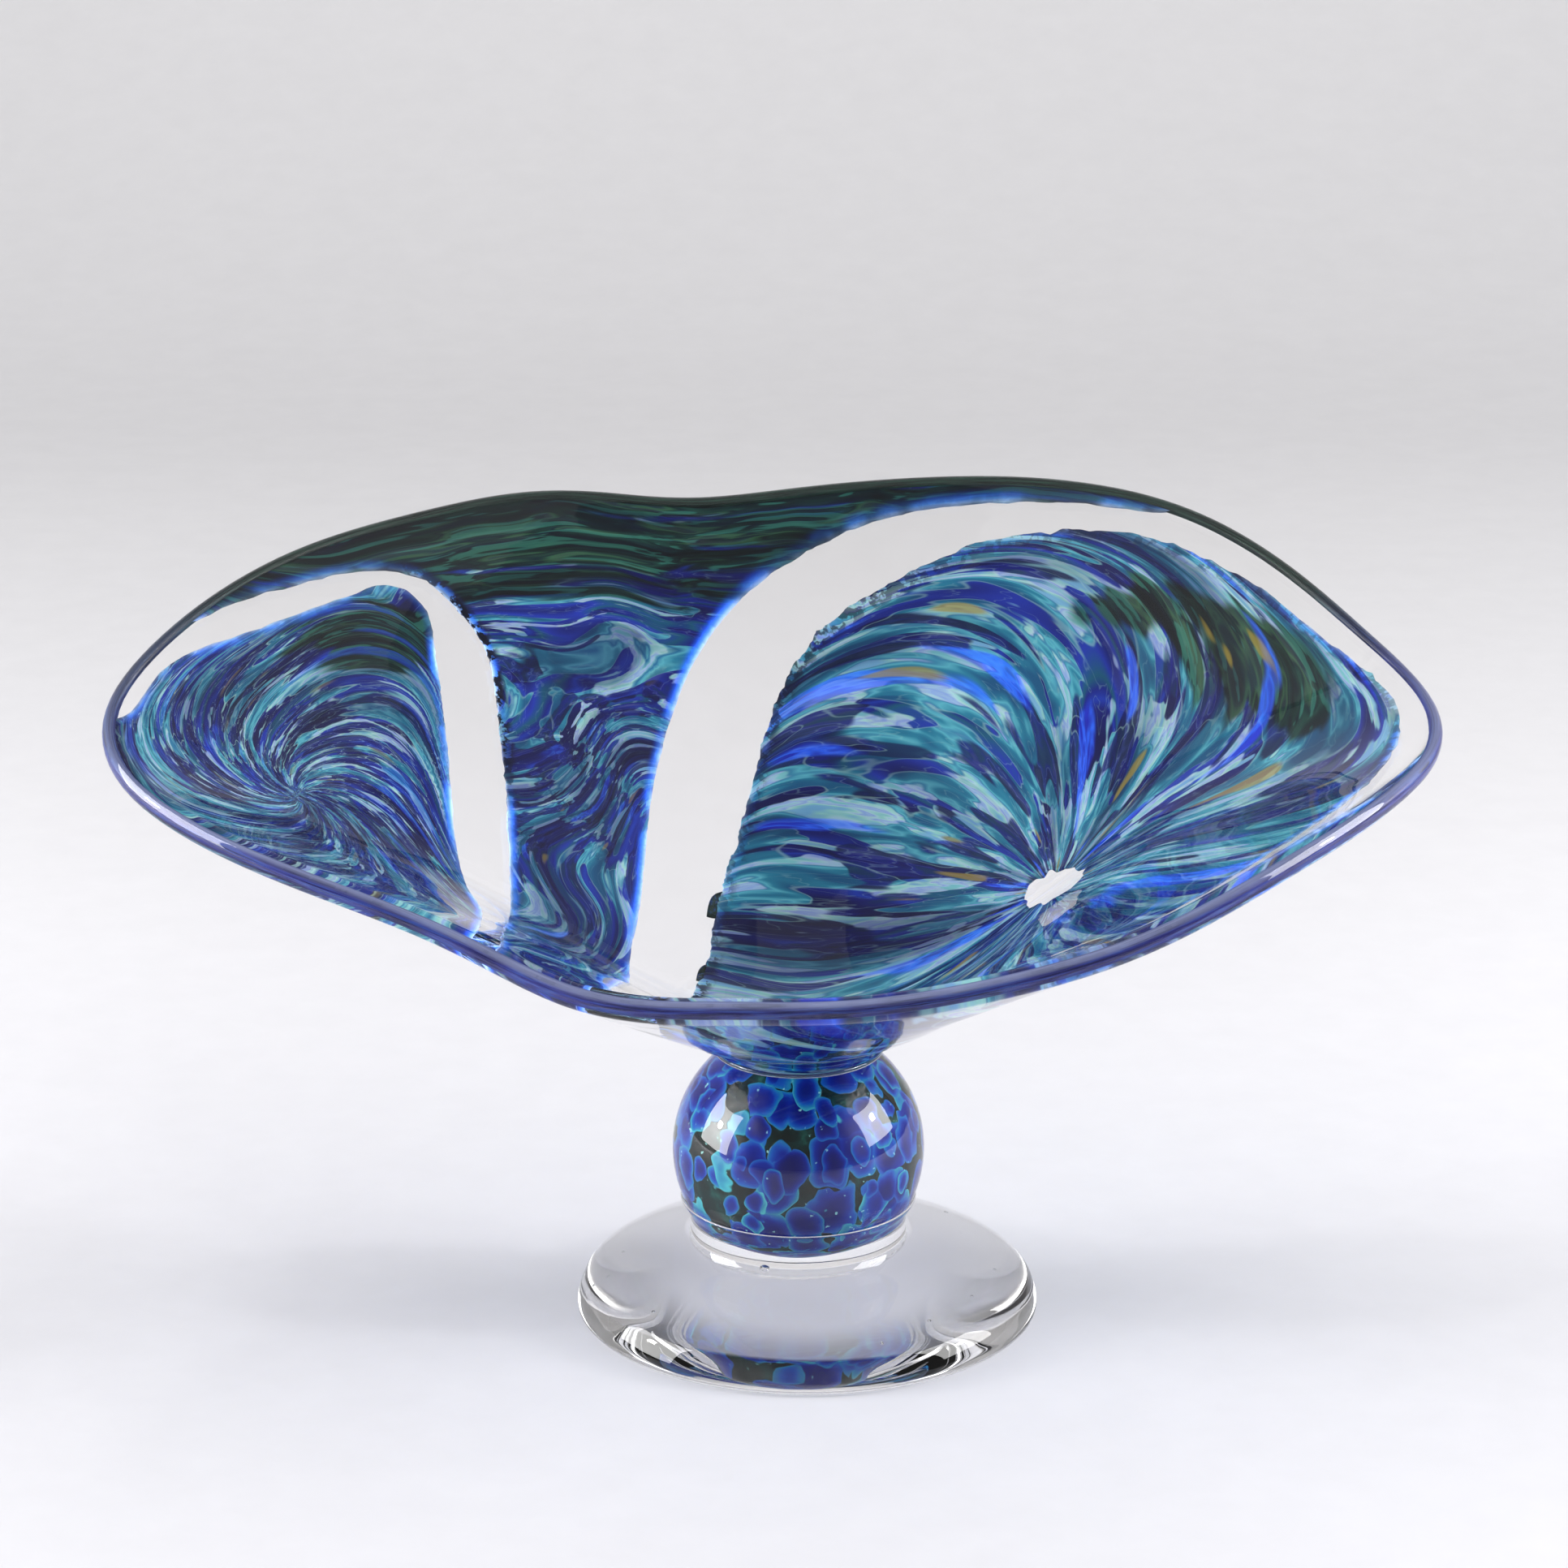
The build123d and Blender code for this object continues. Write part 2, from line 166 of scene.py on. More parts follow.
def open_spline(points, count):
    """Natural cubic through the points, sampled evenly by chord length."""
    points = np.asarray(points, float)
    along = np.r_[0, np.cumsum(np.hypot(*np.diff(points, axis=0).T))]
    n = len(points)
    gap = np.diff(along)
    matrix = np.eye(n)
    second = np.zeros_like(points)
    for i in range(1, n - 1):
        matrix[i, i - 1:i + 2] = gap[i - 1], 2 * (gap[i - 1] + gap[i]), gap[i]
        second[i] = 6 * ((points[i + 1] - points[i]) / gap[i]
                         - (points[i] - points[i - 1]) / gap[i - 1])
    curve = np.linalg.solve(matrix, second)
    at = np.linspace(0, along[-1], count)
    i = np.clip(np.searchsorted(along, at, "right") - 1, 0, n - 2)
    t = ((at - along[i]) / gap[i])[:, None]
    return (points[i] * (1 - t) + points[i + 1] * t
            + gap[i][:, None] ** 2 * ((t ** 3 - t) * curve[i + 1]
                                      + ((1 - t) ** 3 - (1 - t)) * curve[i]) / 6)


def ease(x, start, end):
    """Smooth 0 to 1 as x goes from start to end; end may be the smaller."""
    t = np.clip((np.asarray(x, float) - start) / (end - start), 0, 1)
    return t * t * (3 - 2 * t)


def hump(offset, width):
    return np.exp(-(offset / width) ** 2)


def columns(*parts):
    """Arrays or single numbers side by side in the last axis."""
    return np.stack(np.broadcast_arrays(*parts), -1)


def signed_distance(outline, points):
    """Distance from the points to a closed outline, positive inside."""
    start = np.asarray(outline, float)
    end = np.roll(start, -1, 0)
    side = end - start
    square = np.maximum((side ** 2).sum(1), 1e-12)
    out = np.empty(len(points))
    batch = 4000                      # keeps the tables small
    for first in range(0, len(points), batch):
        p = points[first:first + batch]
        away = p[:, None, :] - start[None]
        t = np.clip((away * side).sum(-1) / square, 0, 1)
        gap = np.sqrt(((away - t[..., None] * side) ** 2).sum(-1)).min(1)
        y = p[:, None, 1]
        crosses = (start[None, :, 1] > y) != (end[None, :, 1] > y)
        with np.errstate(divide="ignore", invalid="ignore"):
            hit_x = start[:, 0] + (y - start[:, 1]) * side[:, 0] / side[:, 1]
        inside = (crosses & (p[:, None, 0] < hit_x)).sum(1) % 2 == 1
        out[first:first + batch] = np.where(inside, gap, -gap)
    return out


def wobble(x, y, size, seed):
    """Smooth noise from summed sines, about -1 to 1."""
    rng = np.random.default_rng(seed)
    out = np.zeros_like(x)
    for _ in range(7):
        heading = rng.uniform(0, 2 * np.pi)
        rate = rng.uniform(0.6, 1.6) / size
        out += np.sin(2 * np.pi * rate * (x * math.cos(heading) + y * math.sin(heading))
                      + rng.uniform(0, 6.28))
    return out / 3.2


# --------------------------------------------------------------------------
# Shape of the bowl wall: theta is the angle, rho runs from 0 (centre) to 1 (rim)
# --------------------------------------------------------------------------
def rim(theta):
    at = theta / (2 * np.pi) * len(RIM_R)
    return periodic_spline(RIM_R, at), periodic_spline(RIM_Z, at)


def middle(theta, rho):
    """Middle of the bowl wall."""
    rim_r, rim_z = rim(theta)
    share = (1 - np.exp(-(rho / SPREAD) ** 2)) / (1 - math.exp(-(1 / SPREAD) ** 2))
    r = rho * (MEAN_R + (rim_r - MEAN_R) * share)
    cos = np.cos(theta)
    flare = np.where(cos > 0, FLARE_RIGHT, FLARE_LEFT) * cos * cos * ease(rho, 0.2, 0.65)
    cone = (np.sqrt(rho * rho + CONE ** 2) - CONE) / (math.sqrt(1 + CONE ** 2) - CONE)
    dome = 1 - np.maximum(0, 1 - rho) ** 1.5
    z = BOWL_Z + (rim_z - BOWL_Z) * ((1 - flare) * cone + flare * dome)
    return np.stack([r * cos, r * np.sin(theta), z], -1)


def wall_frame(theta, rho):
    """Unit vectors to the inside of the bowl and up along the wall."""
    h = 1e-4
    rho = np.minimum(rho, 1.0)
    up = middle(theta, np.minimum(rho + h, 1.0)) - middle(theta, np.maximum(rho - h, 0))
    around = middle(theta + h, rho) - middle(theta - h, rho)
    normal = np.cross(up, around)
    normal /= np.maximum(np.linalg.norm(normal, axis=-1, keepdims=True), 1e-12)
    up /= np.maximum(np.linalg.norm(up, axis=-1, keepdims=True), 1e-12)
    return normal, up


def sheet(theta, rho, depth):
    """Surface at depth to the inside of the middle of the wall."""
    return middle(theta, rho) + wall_frame(theta, rho)[0] * np.asarray(depth)[..., None]


# --------------------------------------------------------------------------
# Meshes
# --------------------------------------------------------------------------
def make(name, verts, faces, mats, face_mats=None, attrs=None, shift_x=0.0):
    mesh = bpy.data.meshes.new(name)
    mesh.from_pydata([tuple(v) for v in (np.asarray(verts) + (shift_x, 0, 0)) * MM], [],
                     [tuple(int(i) for i in f) for f in faces])
    mesh.validate()
    for mat in mats:
        mesh.materials.append(mat)
    if face_mats is not None:
        mesh.polygons.foreach_set("material_index", np.asarray(face_mats, np.int32))
    mesh.polygons.foreach_set("use_smooth", [True] * len(mesh.polygons))
    for key, values in (attrs or {}).items():
        values = np.asarray(values, np.float32)
        if values.ndim == 1:
            layer = mesh.attributes.new(key, "FLOAT", "POINT")
            layer.data.foreach_set("value", values)
        else:
            layer = mesh.attributes.new(key, "FLOAT_VECTOR", "POINT")
            layer.data.foreach_set("vector", values.ravel())
    mesh.update()
    obj = bpy.data.objects.new(name, mesh)
    bpy.context.scene.collection.objects.link(obj)
    return obj


def piece(name, verts, faces, mats, slot, replaces=(), **options):
    obj = make(name, verts, faces, mats, **options)
    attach(obj, "root")
    if replaces:
        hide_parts(*replaces)


def band_around(a, b, count):
    """Quads between the closed rings that start at a and b, first edge on ring a."""
    return [(a + j, a + (j + 1) % count, b + (j + 1) % count, b + j)
            for j in range(count)]


def band_up(a, b, count):
    """The same quads turned over, first edge from ring a to ring b."""
    return [(a + j, b + j, b + (j + 1) % count, a + (j + 1) % count)
            for j in range(count)]


def fan(ring, tip, count):
    return [(ring + j, ring + (j + 1) % count, tip) for j in range(count)]


def revolve(profile, seg):
    """Turn a (radius, z) profile round Z. Also returns each face's profile step."""
    verts, faces, steps, rows = [], [], [], []
    angles = np.arange(seg) * 2 * np.pi / seg
    for r, z in profile:
        on_axis = r < 1e-6
        rows.append((len(verts), on_axis))
        if on_axis:
            verts.append((0, 0, z))
        else:
            verts += [(r * math.cos(a), r * math.sin(a), z) for a in angles]
    for i, ((a, a_tip), (b, b_tip)) in enumerate(zip(rows, rows[1:])):
        if a_tip:
            faces += [(a, b + (j + 1) % seg, b + j) for j in range(seg)]
        elif b_tip:
            faces += fan(a, b, seg)
        else:
            faces += band_around(a, b, seg)
        steps += [i] * seg
    return np.array(verts, float), faces, steps


def arc(radius, z, start, end, count):
    """Profile points on a circle round (0, z)."""
    return [(radius * math.cos(t), z + radius * math.sin(t))
            for t in np.linspace(start, end, count)]


def ball_profile(radius, z, count):
    points = arc(radius, z, -np.pi / 2, np.pi / 2, count)
    points[0], points[-1] = (0, z - radius), (0, z + radius)
    return points


def clip(tris, field):
    """The part of the triangles where field is above 0. Returns faces, and for each
    point two old points and the weight of the second."""
    index = {}
    table = []

    def keep(i):
        if i not in index:
            index[i] = len(table)
            table.append((i, i, 0.0))
        return index[i]

    def cut(i, j):
        a, b = key = (min(i, j), max(i, j))
        if key not in index:
            weight = field[a] / (field[a] - field[b])
            index[key] = len(table)
            table.append((a, b, float(np.clip(weight, 0.02, 0.98))))
        return index[key]

    faces = []
    for tri in tris:
        inside = [field[i] > 0 for i in tri]
        if all(inside):
            faces.append([keep(i) for i in tri])
        elif any(inside):
            polygon = []
            for i, j in zip(tri, tri[1:] + tri[:1]):
                if field[i] > 0:
                    polygon.append(keep(i))
                if (field[i] > 0) != (field[j] > 0):
                    polygon.append(cut(i, j))
            faces.append(polygon)
    return faces, table


def boundary(faces):
    edges = {edge: None for f in faces for edge in zip(f, f[1:] + f[:1])}
    return [(a, b) for a, b in edges if (b, a) not in edges]


# --------------------------------------------------------------------------
# Shader building
# --------------------------------------------------------------------------
def linear(code):
    """Linear RGB from a hex sRGB colour."""
    code = code.lstrip("#")
    parts = [int(code[i:i + 2], 16) / 255 for i in (0, 2, 4)]
    return tuple(x / 12.92 if x <= 0.04045 else ((x + 0.055) / 1.055) ** 2.4
                 for x in parts)


class Shader:
    """A material under construction. Inputs may be sockets, nodes or values, and
    colours may be hex strings."""

    def __init__(self, name):
        self.mat = bpy.data.materials.new(name)
        self.mat.use_nodes = True
        self.tree = self.mat.node_tree
        self.tree.nodes.clear()
        self.out = self.tree.nodes.new("ShaderNodeOutputMaterial")

    def new(self, kind, inputs=None, **props):
        node = self.tree.nodes.new("ShaderNode" + kind)
        for key, value in props.items():
            setattr(node, key, value)
        for key, value in (inputs or {}).items():
            self.put(node.inputs[key], value)
        return node

    def put(self, socket, value):
        if isinstance(value, bpy.types.NodeSocket):
            self.tree.links.new(value, socket)
        elif isinstance(value, bpy.types.Node):
            self.tree.links.new(value.outputs[0], socket)
        else:
            if isinstance(value, str):
                value = linear(value)
            if socket.type == "RGBA" and len(value) == 3:
                value = (*value, 1)
            socket.default_value = value

    def calc(self, op, a, b=0.0, c=0.0):
        return self.new("Math", {0: a, 1: b, 2: c}, operation=op).outputs[0]

    def add(self, a, b):
        return self.calc("ADD", a, b)

    def sub(self, a, b):
        return self.calc("SUBTRACT", a, b)

    def mul(self, a, b):
        return self.calc("MULTIPLY", a, b)

    def linear_of(self, value, gain, base):
        return self.calc("MULTIPLY_ADD", value, gain, base)

    def vector(self, op, a, b):
        return self.new("VectorMath", {0: a, 1: b}, operation=op).outputs[0]

    def object_position(self):
        return self.new("TexCoord").outputs["Object"]

    def split(self, vector):
        return self.new("SeparateXYZ", {0: vector}).outputs

    def attr(self, name, output="Vector"):
        return self.new("Attribute", attribute_name=name).outputs[output]

    def noise(self, at, scale, detail=3.0, rough=0.5, twist=0.0, output=0):
        return self.new("TexNoise", {"Vector": at, "Scale": scale, "Detail": detail,
                                     "Roughness": rough,
                                     "Distortion": twist}).outputs[output]

    def warp(self, at, noise, amount):
        """Push a position about by a colour noise."""
        centred = self.vector("SUBTRACT", noise, (0.5, 0.5, 0.5))
        push = self.new("VectorMath", {0: centred, "Scale": amount}, operation="SCALE")
        return self.vector("ADD", at, push)

    def ramp(self, fac, stops):
        node = self.new("ValToRGB", {0: fac})
        elements = node.color_ramp.elements
        elements.remove(elements[-1])
        elements[0].position = stops[0][0]
        elements[0].color = (*linear(stops[0][1]), 1)
        for position, colour in stops[1:]:
            elements.new(position).color = (*linear(colour), 1)
        return node.outputs[0]

    def rise(self, fac, start, end):
        """0 below start, 1 above end, smooth between."""
        return self.new("MapRange", {"Value": fac, "From Min": start, "From Max": end},
                        interpolation_type="SMOOTHSTEP").outputs[0]

    def fall(self, fac, start, end):
        return self.sub(1.0, self.rise(fac, start, end))

    def line(self, fac, at, width):
        """1 where fac passes the value at, 0 beyond the width."""
        return self.fall(self.calc("ABSOLUTE", self.sub(fac, at)), 0.0, width)

    def mix(self, fac, a, b, mode="MIX"):
        return self.new("Mix", {0: fac, 6: a, 7: b}, data_type="RGBA",
                        blend_type=mode).outputs[2]

    def grade(self, colour, gamma, gain):
        graded = self.new("Gamma", {"Color": colour, "Gamma": gamma})
        return self.mix(1.0, graded, gain, "MULTIPLY")

    def bump(self, height, strength, distance):
        return self.new("Bump", {"Height": height, "Strength": strength,
                                 "Distance": distance})

    def light_pass(self):
        """1 for shadow rays and bounced light."""
        path = self.new("LightPath").outputs
        return self.calc("MAXIMUM", path["Is Shadow Ray"], path["Is Diffuse Ray"])

    def shade(self, fac, a, b):
        return self.new("MixShader", {0: fac, 1: a, 2: b})

    def done(self, shader):
        self.put(self.out.inputs["Surface"], shader)
        return self.mat


# --------------------------------------------------------------------------
# Materials
# --------------------------------------------------------------------------
GLASS_TINT = (0.995, 0.993, 0.990)


def clear_glass(name, wave, passed=(0.972, 0.968, 0.966)):
    """Clear glass with slow waves (wave is their height), fine cords and faint marks.
    Shadow rays and bounced light pass it unbent, tinted by passed."""
    m = Shader(name)
    pos = m.object_position()
    slow = m.noise(pos, scale=28.0, detail=2.0, rough=0.4)
    flattened = m.vector("MULTIPLY", pos, (30, 30, 210))
    cords = m.noise(flattened, scale=1.0, detail=2.0, rough=0.5, twist=0.6)
    bump = m.bump(m.add(slow, m.mul(cords, 0.08)), strength=1.0, distance=wave)
    marks = m.rise(m.noise(pos, scale=900.0, detail=3.0, rough=0.7), 0.70, 0.86)
    glass = m.new("BsdfGlass", {"Color": GLASS_TINT, "Roughness": m.mul(marks, 0.05),
                                "IOR": 1.5, "Normal": bump})
    through = m.new("BsdfTransparent", {"Color": passed})
    return m.done(m.shade(m.light_pass(), glass, through))


def fused_join(name):
    """Invisible face where two glass pieces are melted together."""
    m = Shader(name)
    return m.done(m.new("BsdfTransparent", {"Color": (1, 1, 1)}))


def resting_glass(name, passed, inner, outer):
    """Underside of the foot: clear within the inner radius, plain glass beyond the
    outer one and wherever it is seen close to straight on."""
    m = Shader(name)
    x, y, _ = m.split(m.object_position())
    radius = m.calc("SQRT", m.add(m.mul(x, x), m.mul(y, y)))
    glass = m.new("BsdfGlass", {"Color": GLASS_TINT, "Roughness": 0.0, "IOR": 1.5})
    clear = m.new("BsdfTransparent", {"Color": passed})
    seen = m.new("NewGeometry").outputs
    facing = m.new("VectorMath", {0: seen["Incoming"], 1: seen["Normal"]},
                   operation="DOT_PRODUCT").outputs["Value"]
    slanted = m.fall(m.calc("ABSOLUTE", facing), 0.49, 0.57)
    use_glass = m.calc("MAXIMUM", m.rise(radius, inner, outer), slanted)
    body = m.shade(use_glass, clear, glass)
    return m.done(m.shade(m.light_pass(), body, clear))


def streaked_glass(name, scale=1.0):
    """Opaque colour glass in long crisp patches. Reads the attributes flow (vector),
    edge (mm), tone (green, pale, threads) and fringe (azure, crumbs, sparks)."""
    m = Shader(name)
    flow = m.attr("flow")
    green_share, pale_share, threads = m.split(m.attr("tone"))
    azure, crumbs, sparks = m.split(m.attr("fringe"))
    edge = m.attr("edge", "Fac")
    pos = m.object_position()
    swirl = m.noise(flow, scale=0.6, detail=2.0, rough=0.45, output=1)
    flow = m.warp(flow, swirl, amount=0.55)

    def field(offset, size, detail=1.5, rough=0.45, twist=0.5):
        """Noise along the flow; offset makes each one independent."""
        return m.noise(m.vector("ADD", flow, offset), size * scale, detail, rough, twist)

    broad = field((0.0, 0.0, 0.0), size=0.75, detail=2.0)
    ground = field((17.0, 5.0, 9.0), size=1.5)
    patch = field((3.3, 27.0, 1.2), size=2.1, detail=2.0, rough=0.5, twist=0.7)
    vein = field((31.0, 2.0, 14.0), size=3.4, detail=2.0, rough=0.5, twist=0.5)
    shadow = field((8.0, 13.0, 44.0), size=2.4)
    fine = field((7.3, 1.1, 4.2), size=5.6, detail=2.5, rough=0.55, twist=0.4)

    # blue ground, teal patches, pale veins, dark patches
    col = m.ramp(ground, [(0.34, "#14174f"), (0.44, "#1c2370"), (0.475, "#25409a"),
                          (0.51, "#1d2a7c"), (0.545, "#1e5a72"), (0.60, "#2b3f9c"),
                          (0.68, "#171b58")])
    teal = m.ramp(vein, [(0.36, "#205a7c"), (0.46, "#327c92"), (0.50, "#5fa3ae"),
                         (0.54, "#2b6d92"), (0.60, "#7fb2b6"), (0.68, "#35809c")])
    pale = m.ramp(fine, [(0.38, "#7aa3bd"), (0.46, "#93bcb4"), (0.51, "#acc0c4"),
                         (0.55, "#8c9cc4"), (0.60, "#a4b4c6"), (0.66, "#7fb3b4")])
    shift = m.mul(pale_share, 0.055)
    teal_at = m.add(patch, shift)
    col = m.mix(m.rise(teal_at, 0.485, 0.520), col, teal)
    pale_at = m.rise(m.add(vein, shift), 0.555, 0.585)
    col = m.mix(m.mul(pale_at, 0.82), col, pale)
    dark = m.ramp(fine, [(0.40, "#131548"), (0.52, "#1e1f78"), (0.62, "#17305a")])
    col = m.mix(m.mul(m.rise(shadow, 0.555, 0.585), 0.9), col, dark)

    # pale outline round the teal patches, and thin threads
    outline = m.mul(m.line(teal_at, at=0.503, width=0.011),
                    m.linear_of(threads, gain=0.45, base=0.22))
    col = m.mix(outline, col, "#a9c8bd")
    thread = m.mul(m.line(fine, at=0.5, width=0.016),
                   m.linear_of(threads, gain=0.40, base=0.10))
    col = m.mix(thread, col, "#9fbdb8")

    # green-black glass
    green = m.ramp(vein, [(0.32, "#050d0c"), (0.44, "#0c1c18"), (0.50, "#18382a"),
                          (0.535, "#0a1b1c"), (0.58, "#34583a"), (0.63, "#122a2c"),
                          (0.72, "#070f12")])
    green = m.mix(m.mul(m.rise(fine, 0.545, 0.59), 0.6), green, "#3f7c6c")
    uneven = m.add(m.mul(m.sub(broad, 0.5), 0.7), m.mul(m.sub(patch, 0.5), 1.3))
    green_at = m.rise(m.add(green_share, uneven), 0.42, 0.60)
    col = m.mix(m.mul(green_at, 0.92), col, green)

    # broad darkening, then blue glow and ochre sparks
    deep = field((5.0, 61.0, 8.0), size=1.1, rough=0.4, twist=0.0)
    deep = m.ramp(deep, [(0.36, "#aeb2c4"), (0.48, "#eff0f3"), (0.60, "#ffffff")])
    col = m.mix(1.0, col, deep, "MULTIPLY")
    glow_at = m.rise(field((3.0, 31.0, 2.0), size=2.0, rough=0.4, twist=0.0), 0.615, 0.66)
    glow = m.ramp(fine, [(0.40, "#2a3fc4"), (0.52, "#3f7cf0"), (0.62, "#2c35b4")])
    col = m.mix(m.mul(glow_at, m.mul(sparks, 0.75)), col, glow)
    ochre = field((41.0, 3.0, 12.0), size=2.6, detail=1.0, rough=0.5, twist=0.0)
    ochre_at = m.rise(ochre, 0.700, 0.745)
    col = m.mix(m.mul(ochre_at, m.mul(sparks, 0.85)), col, "#94843c")

    # azure fringe against the clear bands, with dark crumbs in it
    crumb = m.noise(pos, scale=300.0, detail=3.0, rough=0.6)
    patchy = m.rise(m.noise(pos, scale=52.0, detail=2.0, rough=0.5), 0.42, 0.56)
    fringe_at = m.mul(m.mul(m.fall(edge, 0.3, 2.8), azure),
                      m.linear_of(patchy, gain=0.80, base=0.20))
    col = m.mix(fringe_at, col,
                m.ramp(m.mul(edge, 0.25), [(0.0, "#c4dcff"), (0.18, "#6aa8ff"),
                                           (0.42, "#2a76f2"), (0.8, "#2450c8")]))
    crumb_at = m.mul(m.mul(m.fall(edge, 1.4, 3.8), crumbs), m.rise(crumb, 0.46, 0.54))
    col = m.mix(crumb_at, col, "#0d0f28")

    col = m.grade(col, gamma=1.22, gain=(2.05, 2.08, 2.05, 1.0))
    face = m.new("BsdfPrincipled", {
        "Base Color": col, "Roughness": m.linear_of(patch, gain=0.3, base=0.3),
        "Specular IOR Level": 0.12,
        "Normal": m.bump(patch, strength=0.2, distance=0.0005)})
    back = m.new("BsdfTranslucent", {"Color": m.mix(0.10, col, (1, 1, 1, 1))})
    translucency = 0.28
    return m.done(m.shade(translucency, face, back))


def edge_glass(name):
    """Colour inside the lip. Reads flow, tone (green) and pale, a painted highlight on the
    tube's lit side.
    """
    m = Shader(name)
    streak = m.noise(m.attr("flow"), scale=2.2, detail=4.0, rough=0.6)
    blue = m.ramp(streak, [(0.3, "#0c0e38"), (0.45, "#171b60"), (0.52, "#22277c"),
                           (0.60, "#2a4796"), (0.68, "#10144a")])
    # painted highlight: lighter blue where the pale attribute marks the tube's lit side
    pale = m.mul(m.attr("pale", "Fac"), m.linear_of(streak, gain=0.9, base=0.24))
    blue = m.mix(pale, blue, "#8c95b8")
    green = m.ramp(streak, [(0.3, "#060f0e"), (0.5, "#10231f"), (0.62, "#1f3f34"),
                            (0.72, "#0b1a22")])
    col = m.mix(m.attr("tone", "Fac"), blue, green)
    return m.done(m.new("BsdfPrincipled", {
        "Base Color": col, "Roughness": m.linear_of(streak, gain=0.3, base=0.15),
        "Specular IOR Level": 0.3}))


# Layers of knop flakes, bottom first: shift of the pattern, cells per metre,
# share of cells left out, smallest flake size as a share of a cell
CHIP_LAYERS = ((1.7, 108.0, 0.10, 0.50), (0.0, 132.0, 0.34, 0.46),
               (4.1, 168.0, 0.56, 0.42))


def chip_glass(name):
    """Rounded cobalt flakes with turquoise rims, lapping on dark green glass."""
    m = Shader(name)
    pos = m.object_position()
    wavy = m.noise(pos, scale=110.0, detail=2.0, rough=0.5, output=1)
    col = m.ramp(m.noise(pos, scale=150.0, detail=4.0, rough=0.6),
                 [(0.3, "#030b0b"), (0.48, "#082120"), (0.60, "#10393a"),
                  (0.72, "#27665f")])
    height = None
    for shift, scale, left_out, smallest in CHIP_LAYERS:
        at = m.warp(m.vector("MULTIPLY", pos, (1.0, 1.0, 0.82)), wavy, amount=0.0065)
        at = m.vector("ADD", at, (shift * 0.013, shift * 0.007, shift * 0.011))
        cell = m.new("TexVoronoi", {"Vector": at, "Scale": scale, "Randomness": 1.0},
                     feature="F1").outputs
        pick = m.new("SeparateColor", {0: cell["Color"]}).outputs
        size = m.linear_of(pick[1], gain=0.16, base=smallest)
        out = m.calc("DIVIDE", cell["Distance"], size)     # 0 centre, 1 flake edge
        flake_at = m.mul(m.rise(pick[0], left_out, left_out + 0.01),
                         m.fall(out, 0.97, 1.0))
        tint = m.linear_of(pick[2], 0.30, m.mul(m.calc("POWER", out, 2.0), 0.72))
        blue = m.ramp(tint, [(0.0, "#0f1264"), (0.25, "#131f7c"), (0.48, "#173698"),
                             (0.66, "#2062b2"), (0.82, "#2f86ac"), (0.98, "#5ab6c0")])
        col = m.mix(flake_at, col, blue)
        height = flake_at if height is None else m.calc("MAXIMUM", height, flake_at)
    speck = m.rise(m.noise(pos, scale=560.0, detail=2.0, rough=0.6), 0.68, 0.72)
    col = m.mix(m.mul(speck, 0.7), col, "#9fd6d8")
    col = m.grade(col, gamma=1.3, gain=(1.3, 1.25, 1.15, 1.0))
    return m.done(m.new("BsdfPrincipled", {
        "Base Color": col, "Roughness": 0.32, "Specular IOR Level": 0.2,
        "Normal": m.bump(height, strength=0.3, distance=0.0005)}))


def flake_metal(name):
    m = Shader(name)
    grain = m.noise(m.object_position(), scale=700.0, detail=4.0, rough=0.7)
    col = m.ramp(grain, [(0.3, "#0b1412"), (0.5, "#152c24"), (0.62, "#22407a"),
                         (0.7, "#8a7a34"), (0.8, "#0e1a18")])
    return m.done(m.new("BsdfPrincipled", {
        "Base Color": col, "Metallic": 0.6, "Roughness": 0.35,
        "Normal": m.bump(grain, strength=0.8, distance=0.0006)}))


def studio_paper(name):
    """Near-white paper with painted shade toward the front and a faint painted glow toward
    the back.
    """
    m = Shader(name)
    pos = m.object_position()
    mottle = m.ramp(m.noise(pos, scale=60.0, detail=4.0, rough=0.6),
                    [(0.3, "#e6e5e7"), (0.7, "#e9e8ea")])
    y = m.split(pos)[1]
    # painted shade: the paper is a little darker toward the front
    shade = m.ramp(y, [(0.05, "#f6f6f8"), (0.75, "#ffffff")])
    return m.done(m.new("BsdfPrincipled", {
        "Base Color": m.mix(1.0, mottle, shade, "MULTIPLY"),
        "Roughness": 0.85, "Specular IOR Level": 0.1,
        # painted glow on the back wall, standing in for light falling on it
        "Emission Color": (1.0, 0.99, 1.0, 1.0),
        "Emission Strength": m.mul(m.rise(y, 0.8, 1.7), 0.13)}))


GLASS_BOWL = clear_glass("clear_glass_bowl", wave=0.0005)
GLASS_KNOP = clear_glass("clear_glass_knop", wave=0.0001)
GLASS_FOOT = clear_glass("clear_glass_foot", wave=0.0002, passed=(0.76, 0.765, 0.775))
FUSED = fused_join("fused_join")
BASE = resting_glass("clear_glass_base", passed=(0.93, 0.93, 0.94), inner=0.030,
                     outer=0.052)

# --------------------------------------------------------------------------
# Bowl: clear casing
# --------------------------------------------------------------------------
TH = np.arange(SEG) * 2 * np.pi / SEG
RIM_MID = middle(TH, np.ones(SEG))
RIM_NORMAL, RIM_UP = wall_frame(TH, np.ones(SEG))


def underside_depth(rho):
    return -WALL - (PAD_SINK - WALL) * (1 - ease(rho, 0, 0.5))


def wall_rings(rhos, depth_at):
    return [sheet(TH, np.full(SEG, rho), np.full(SEG, depth_at(rho))) for rho in rhos]


